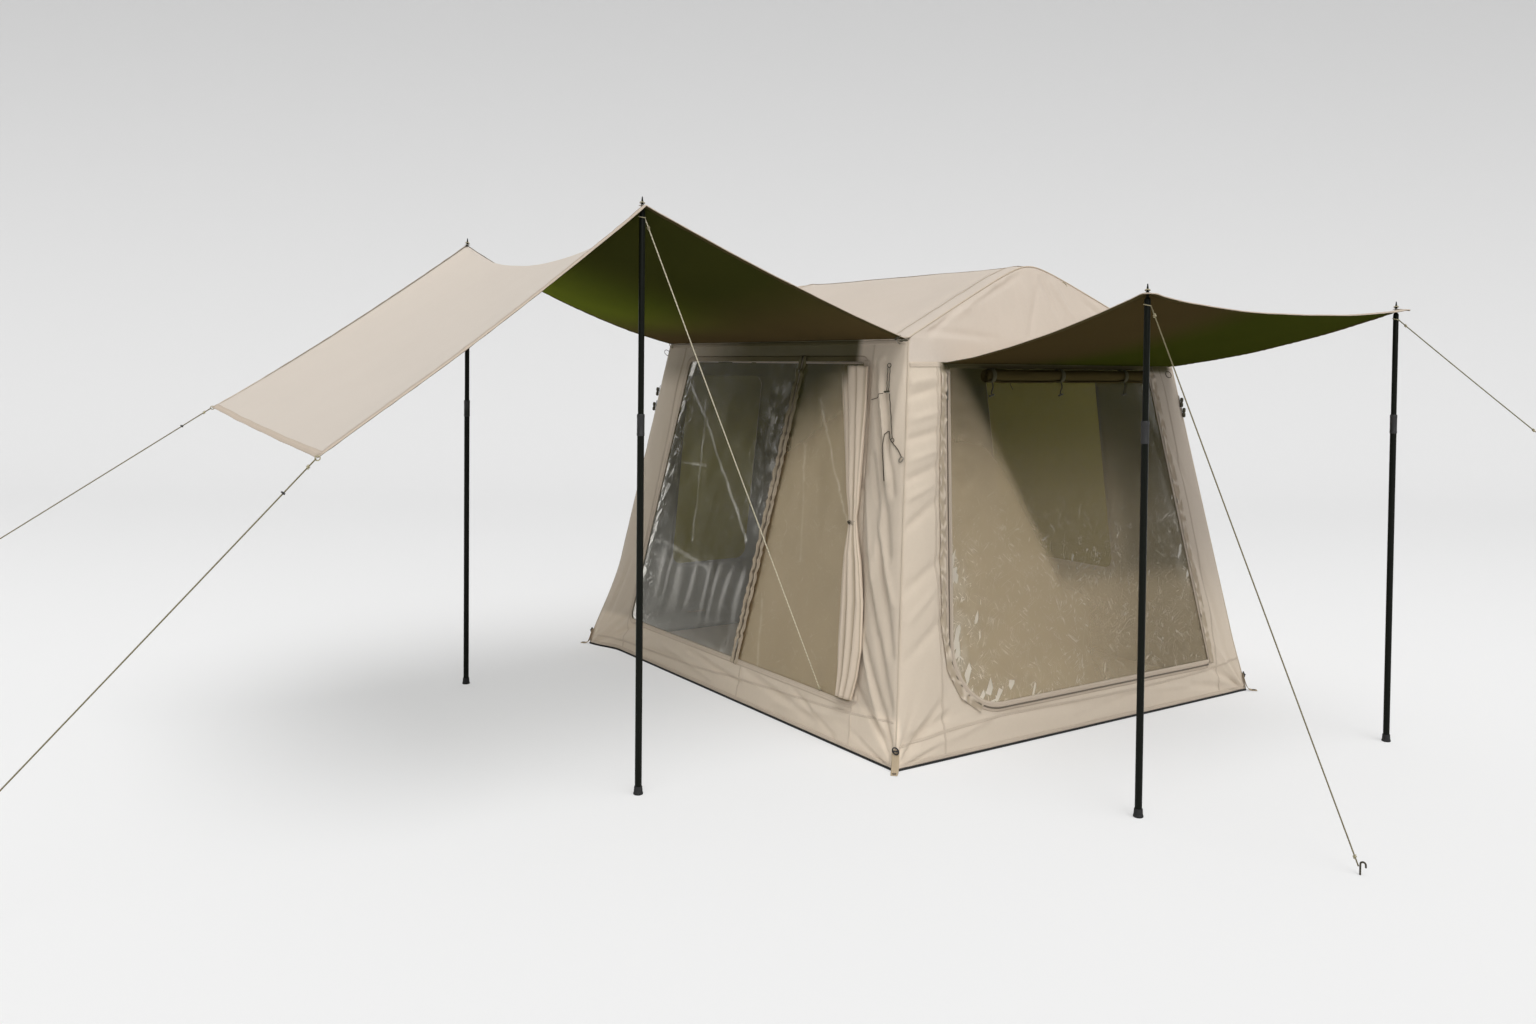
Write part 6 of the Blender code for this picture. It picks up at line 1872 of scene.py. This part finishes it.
def makeRoll(s):
    frameSouth = wallFrames["south"]

    def place(along, t):
        u = lerp(s["left"], s["right"], along)
        turn = -0.35 * math.pi - t * s["turns"] * math.tau
        pinch = sum(math.exp(-((u - loop) / 0.035) ** 2) for loop in s["loops"])
        radius = lerp(s["radius"], s["inner"], t) - 0.0035 * pinch
        radius += 0.0020 * crumple(u * 7, math.cos(turn) * 1.3, math.sin(turn) * 1.3) * (1 - t)
        droop = -0.003 * (1 - pinch)
        z = s["height"] * slope + radius * math.sin(turn) + droop
        out = s["radius"] + 0.002 + radius * math.cos(turn)
        return frameSouth @ Vector((u, z, max(out, 0.0045)))

    roll = clothGrid(
        "rolledCover", 150, 130, place, [rollCloth], uv=lambda a, t: (a * 1.04, t * 0.37), thickness=0.0012,
        offset=0)
    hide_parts("rolled_cover_south")
    for i, u in enumerate(s["loops"]):
        def strap(across, t, u=u):
            turn = t * math.tau
            radius = s["radius"] - 0.0005
            z = s["height"] * slope + radius * math.sin(turn) - 0.001
            out = max(s["radius"] + 0.002 + radius * math.cos(turn), 0.003)
            return frameSouth @ Vector((u + (across - 0.5) * 0.022, z, out))

        clothGrid(
            f"rollStrap{i + 1}", 3, 48, strap, [darkWeb], uv=lambda a, t: (a * 0.012, t * 0.2),
            thickness=0.0012, offset=0)
        low = frameSouth @ Vector((u, (s["height"] - 0.033) * slope, s["radius"] + 0.010))
        points = [low + Vector((0.005 * math.sin(k * 0.5), -0.001 * k * 0.2, -0.0050 * k)) for k in range(12)]
        cordCurve(f"rollCord{i + 1}", points, 0.0034, darkWeb)
        toggleAt(f"rollToggle{i + 1}", points[-1], (1, 0.1, 0.25), 0.030, 0.0048)


makeRoll(rollSettings)
print("curtain and roll made")


def roundedCopy(node, name, material, slot):
    # the inflated tubes, smoothed from the solids
    shape = bmesh.new()
    shape.from_mesh(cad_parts[node].data)
    bmesh.ops.remove_doubles(shape, verts=shape.verts, dist=1e-5)
    bmesh.ops.join_triangles(
        shape, faces=shape.faces, angle_face_threshold=0.7, angle_shape_threshold=0.9, cmp_seam=False,
        cmp_sharp=False, cmp_uvs=False, cmp_vcols=False, cmp_materials=False)
    piece = finishMesh(name, shape, [material], slot, sharp=80)
    smoothing = piece.modifiers.new("roundness", "SUBSURF")
    smoothing.levels = smoothing.render_levels = 1
    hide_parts(node)
    return piece


for node, name in (
    ("air_arch_south", "airArchSouth"), ("air_arch_north", "airArchNorth"),
    ("air_beam_ridge", "airBeamRidge"), ("air_beam_west", "airBeamWest"), ("air_beam_east", "airBeamEast"),
):
    roundedCopy(node, name, bladderCloth, "bladder_grey")
print("air frame made")

# CAD pieces that stay as they are, in their own finishes

nodeFinish = {
    "valve_body": plasticBlack, "valve_plunger": plasticBlack, "valve_cap": plasticBlack,
    "zip_slider_west": darkSteel, "zip_slider_south": darkSteel,
    "runner_flap_far": plasticBlack, "runner_flap_near": plasticBlack,
    "peg_flap_far": pegSteel, "peg_flap_near": pegSteel, "peg_south": pegSteel,
}
for node, finish in nodeFinish.items():
    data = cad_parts[node].data
    data.materials.clear()
    data.materials.append(finish)

# floor, backdrop and light

stageSettings = {
    "paper": 0.80,
    "seenPaper": 0.42,
    "seenTop": 0.30,
    "seenGlow": 0.39,
    "depths": (-3.0, 8.0),
    "near": 1.08,
    "far": 0.905,
    "coveAt": 9.0,
    "bend": 9.0,
    "world": 0.42,
    "seenWorld": 0.68,
    "suns": (
        {"from": (-0.10, -0.45, 1.0), "energy": 1.95, "wide": 48.0},
        {"from": (-0.35, -1.0, 0.50), "energy": 0.35, "wide": 30.0},
    ),
}


def makePaper(s):
    # to the camera the paper shows gentler shadows than it throws back as light
    made, tree, shader, coords = newMaterial("studioPaper")
    rise = ramp(tree, splitNode(tree, coords["Object"])[2], 0.0, s["bend"], kind="LINEAR")
    yaw = math.radians(cameraSettings["yaw"])
    ahead = addNode(tree, "ShaderNodeVectorMath", {
        0: coords["Object"], 1: (math.cos(yaw), math.sin(yaw), 0),
    }, operation="DOT_PRODUCT")
    depth = ramp(tree, ahead.outputs["Value"], *s["depths"], s["near"], s["far"])
    plain = mixColour(tree, rise, (s["seenPaper"],) * 3, (s["seenTop"],) * 3)
    dimmed = addNode(tree, "ShaderNodeVectorMath", {0: plain, "Scale": depth}, operation="SCALE")
    toCamera = addNode(tree, "ShaderNodeLightPath").outputs["Is Camera Ray"]
    glow = math2(tree, "MULTIPLY", depth, s["seenGlow"])
    feed(shader, {
        "Base Color": mixColour(tree, toCamera, (s["paper"],) * 3, dimmed.outputs[0]),
        "Emission Color": (1, 1, 1, 1), "Emission Strength": math2(tree, "MULTIPLY", toCamera, glow),
        "Roughness": 1.0, "Specular IOR Level": 0.0,
    })
    return made


def makeStage(s):
    yaw = math.radians(cameraSettings["yaw"])
    ahead = Vector((math.cos(yaw), math.sin(yaw), 0))
    side = Vector((math.sin(yaw), -math.cos(yaw), 0))
    shape = bmesh.new()
    bmesh.ops.create_grid(shape, x_segments=2, y_segments=80, size=0.5)
    for vert in shape.verts:
        across, t = vert.co.x * 80, vert.co.y + 0.5
        if t < 0.4:
            reach, height = lerp(-30, s["coveAt"], t / 0.4), 0.0
        elif t < 0.8:
            turn = (t - 0.4) / 0.4 * math.pi / 2
            reach = s["coveAt"] + s["bend"] * math.sin(turn)
            height = s["bend"] * (1 - math.cos(turn))
        else:
            reach, height = s["coveAt"] + s["bend"], s["bend"] + (t - 0.8) * 30
        vert.co = ahead * reach + side * across + Vector((0, 0, height - 0.0005))
    mesh = bpy.data.meshes.new("studioFloor")
    shape.to_mesh(mesh)
    shape.free()
    mesh.shade_smooth()
    mesh.materials.append(makePaper(s))
    addObject("studioFloor", mesh)


def makeLights(s):
    world = bpy.data.worlds.new("studioWorld")
    world.use_nodes = True
    tree = world.node_tree
    toCamera = addNode(tree, "ShaderNodeLightPath").outputs["Is Camera Ray"]
    lift = math2(tree, "MULTIPLY", toCamera, s["seenWorld"] - s["world"])
    feed(tree.nodes["Background"], {"Color": (1, 1, 1, 1), "Strength": math2(tree, "ADD", lift, s["world"])})
    bpy.context.scene.world = world
    for i, sun in enumerate(s["suns"]):
        data = bpy.data.lights.new(f"softSun{i + 1}", "SUN")
        data.energy = sun["energy"]
        data.angle = math.radians(sun["wide"])
        light = addObject(data.name, data)
        light.matrix_world = Vector(sun["from"]).to_track_quat("Z", "Y").to_matrix().to_4x4()


makeStage(stageSettings)
makeLights(stageSettings)
scene = bpy.context.scene
scene.view_settings.view_transform = "Standard"
print("stage and lights set")
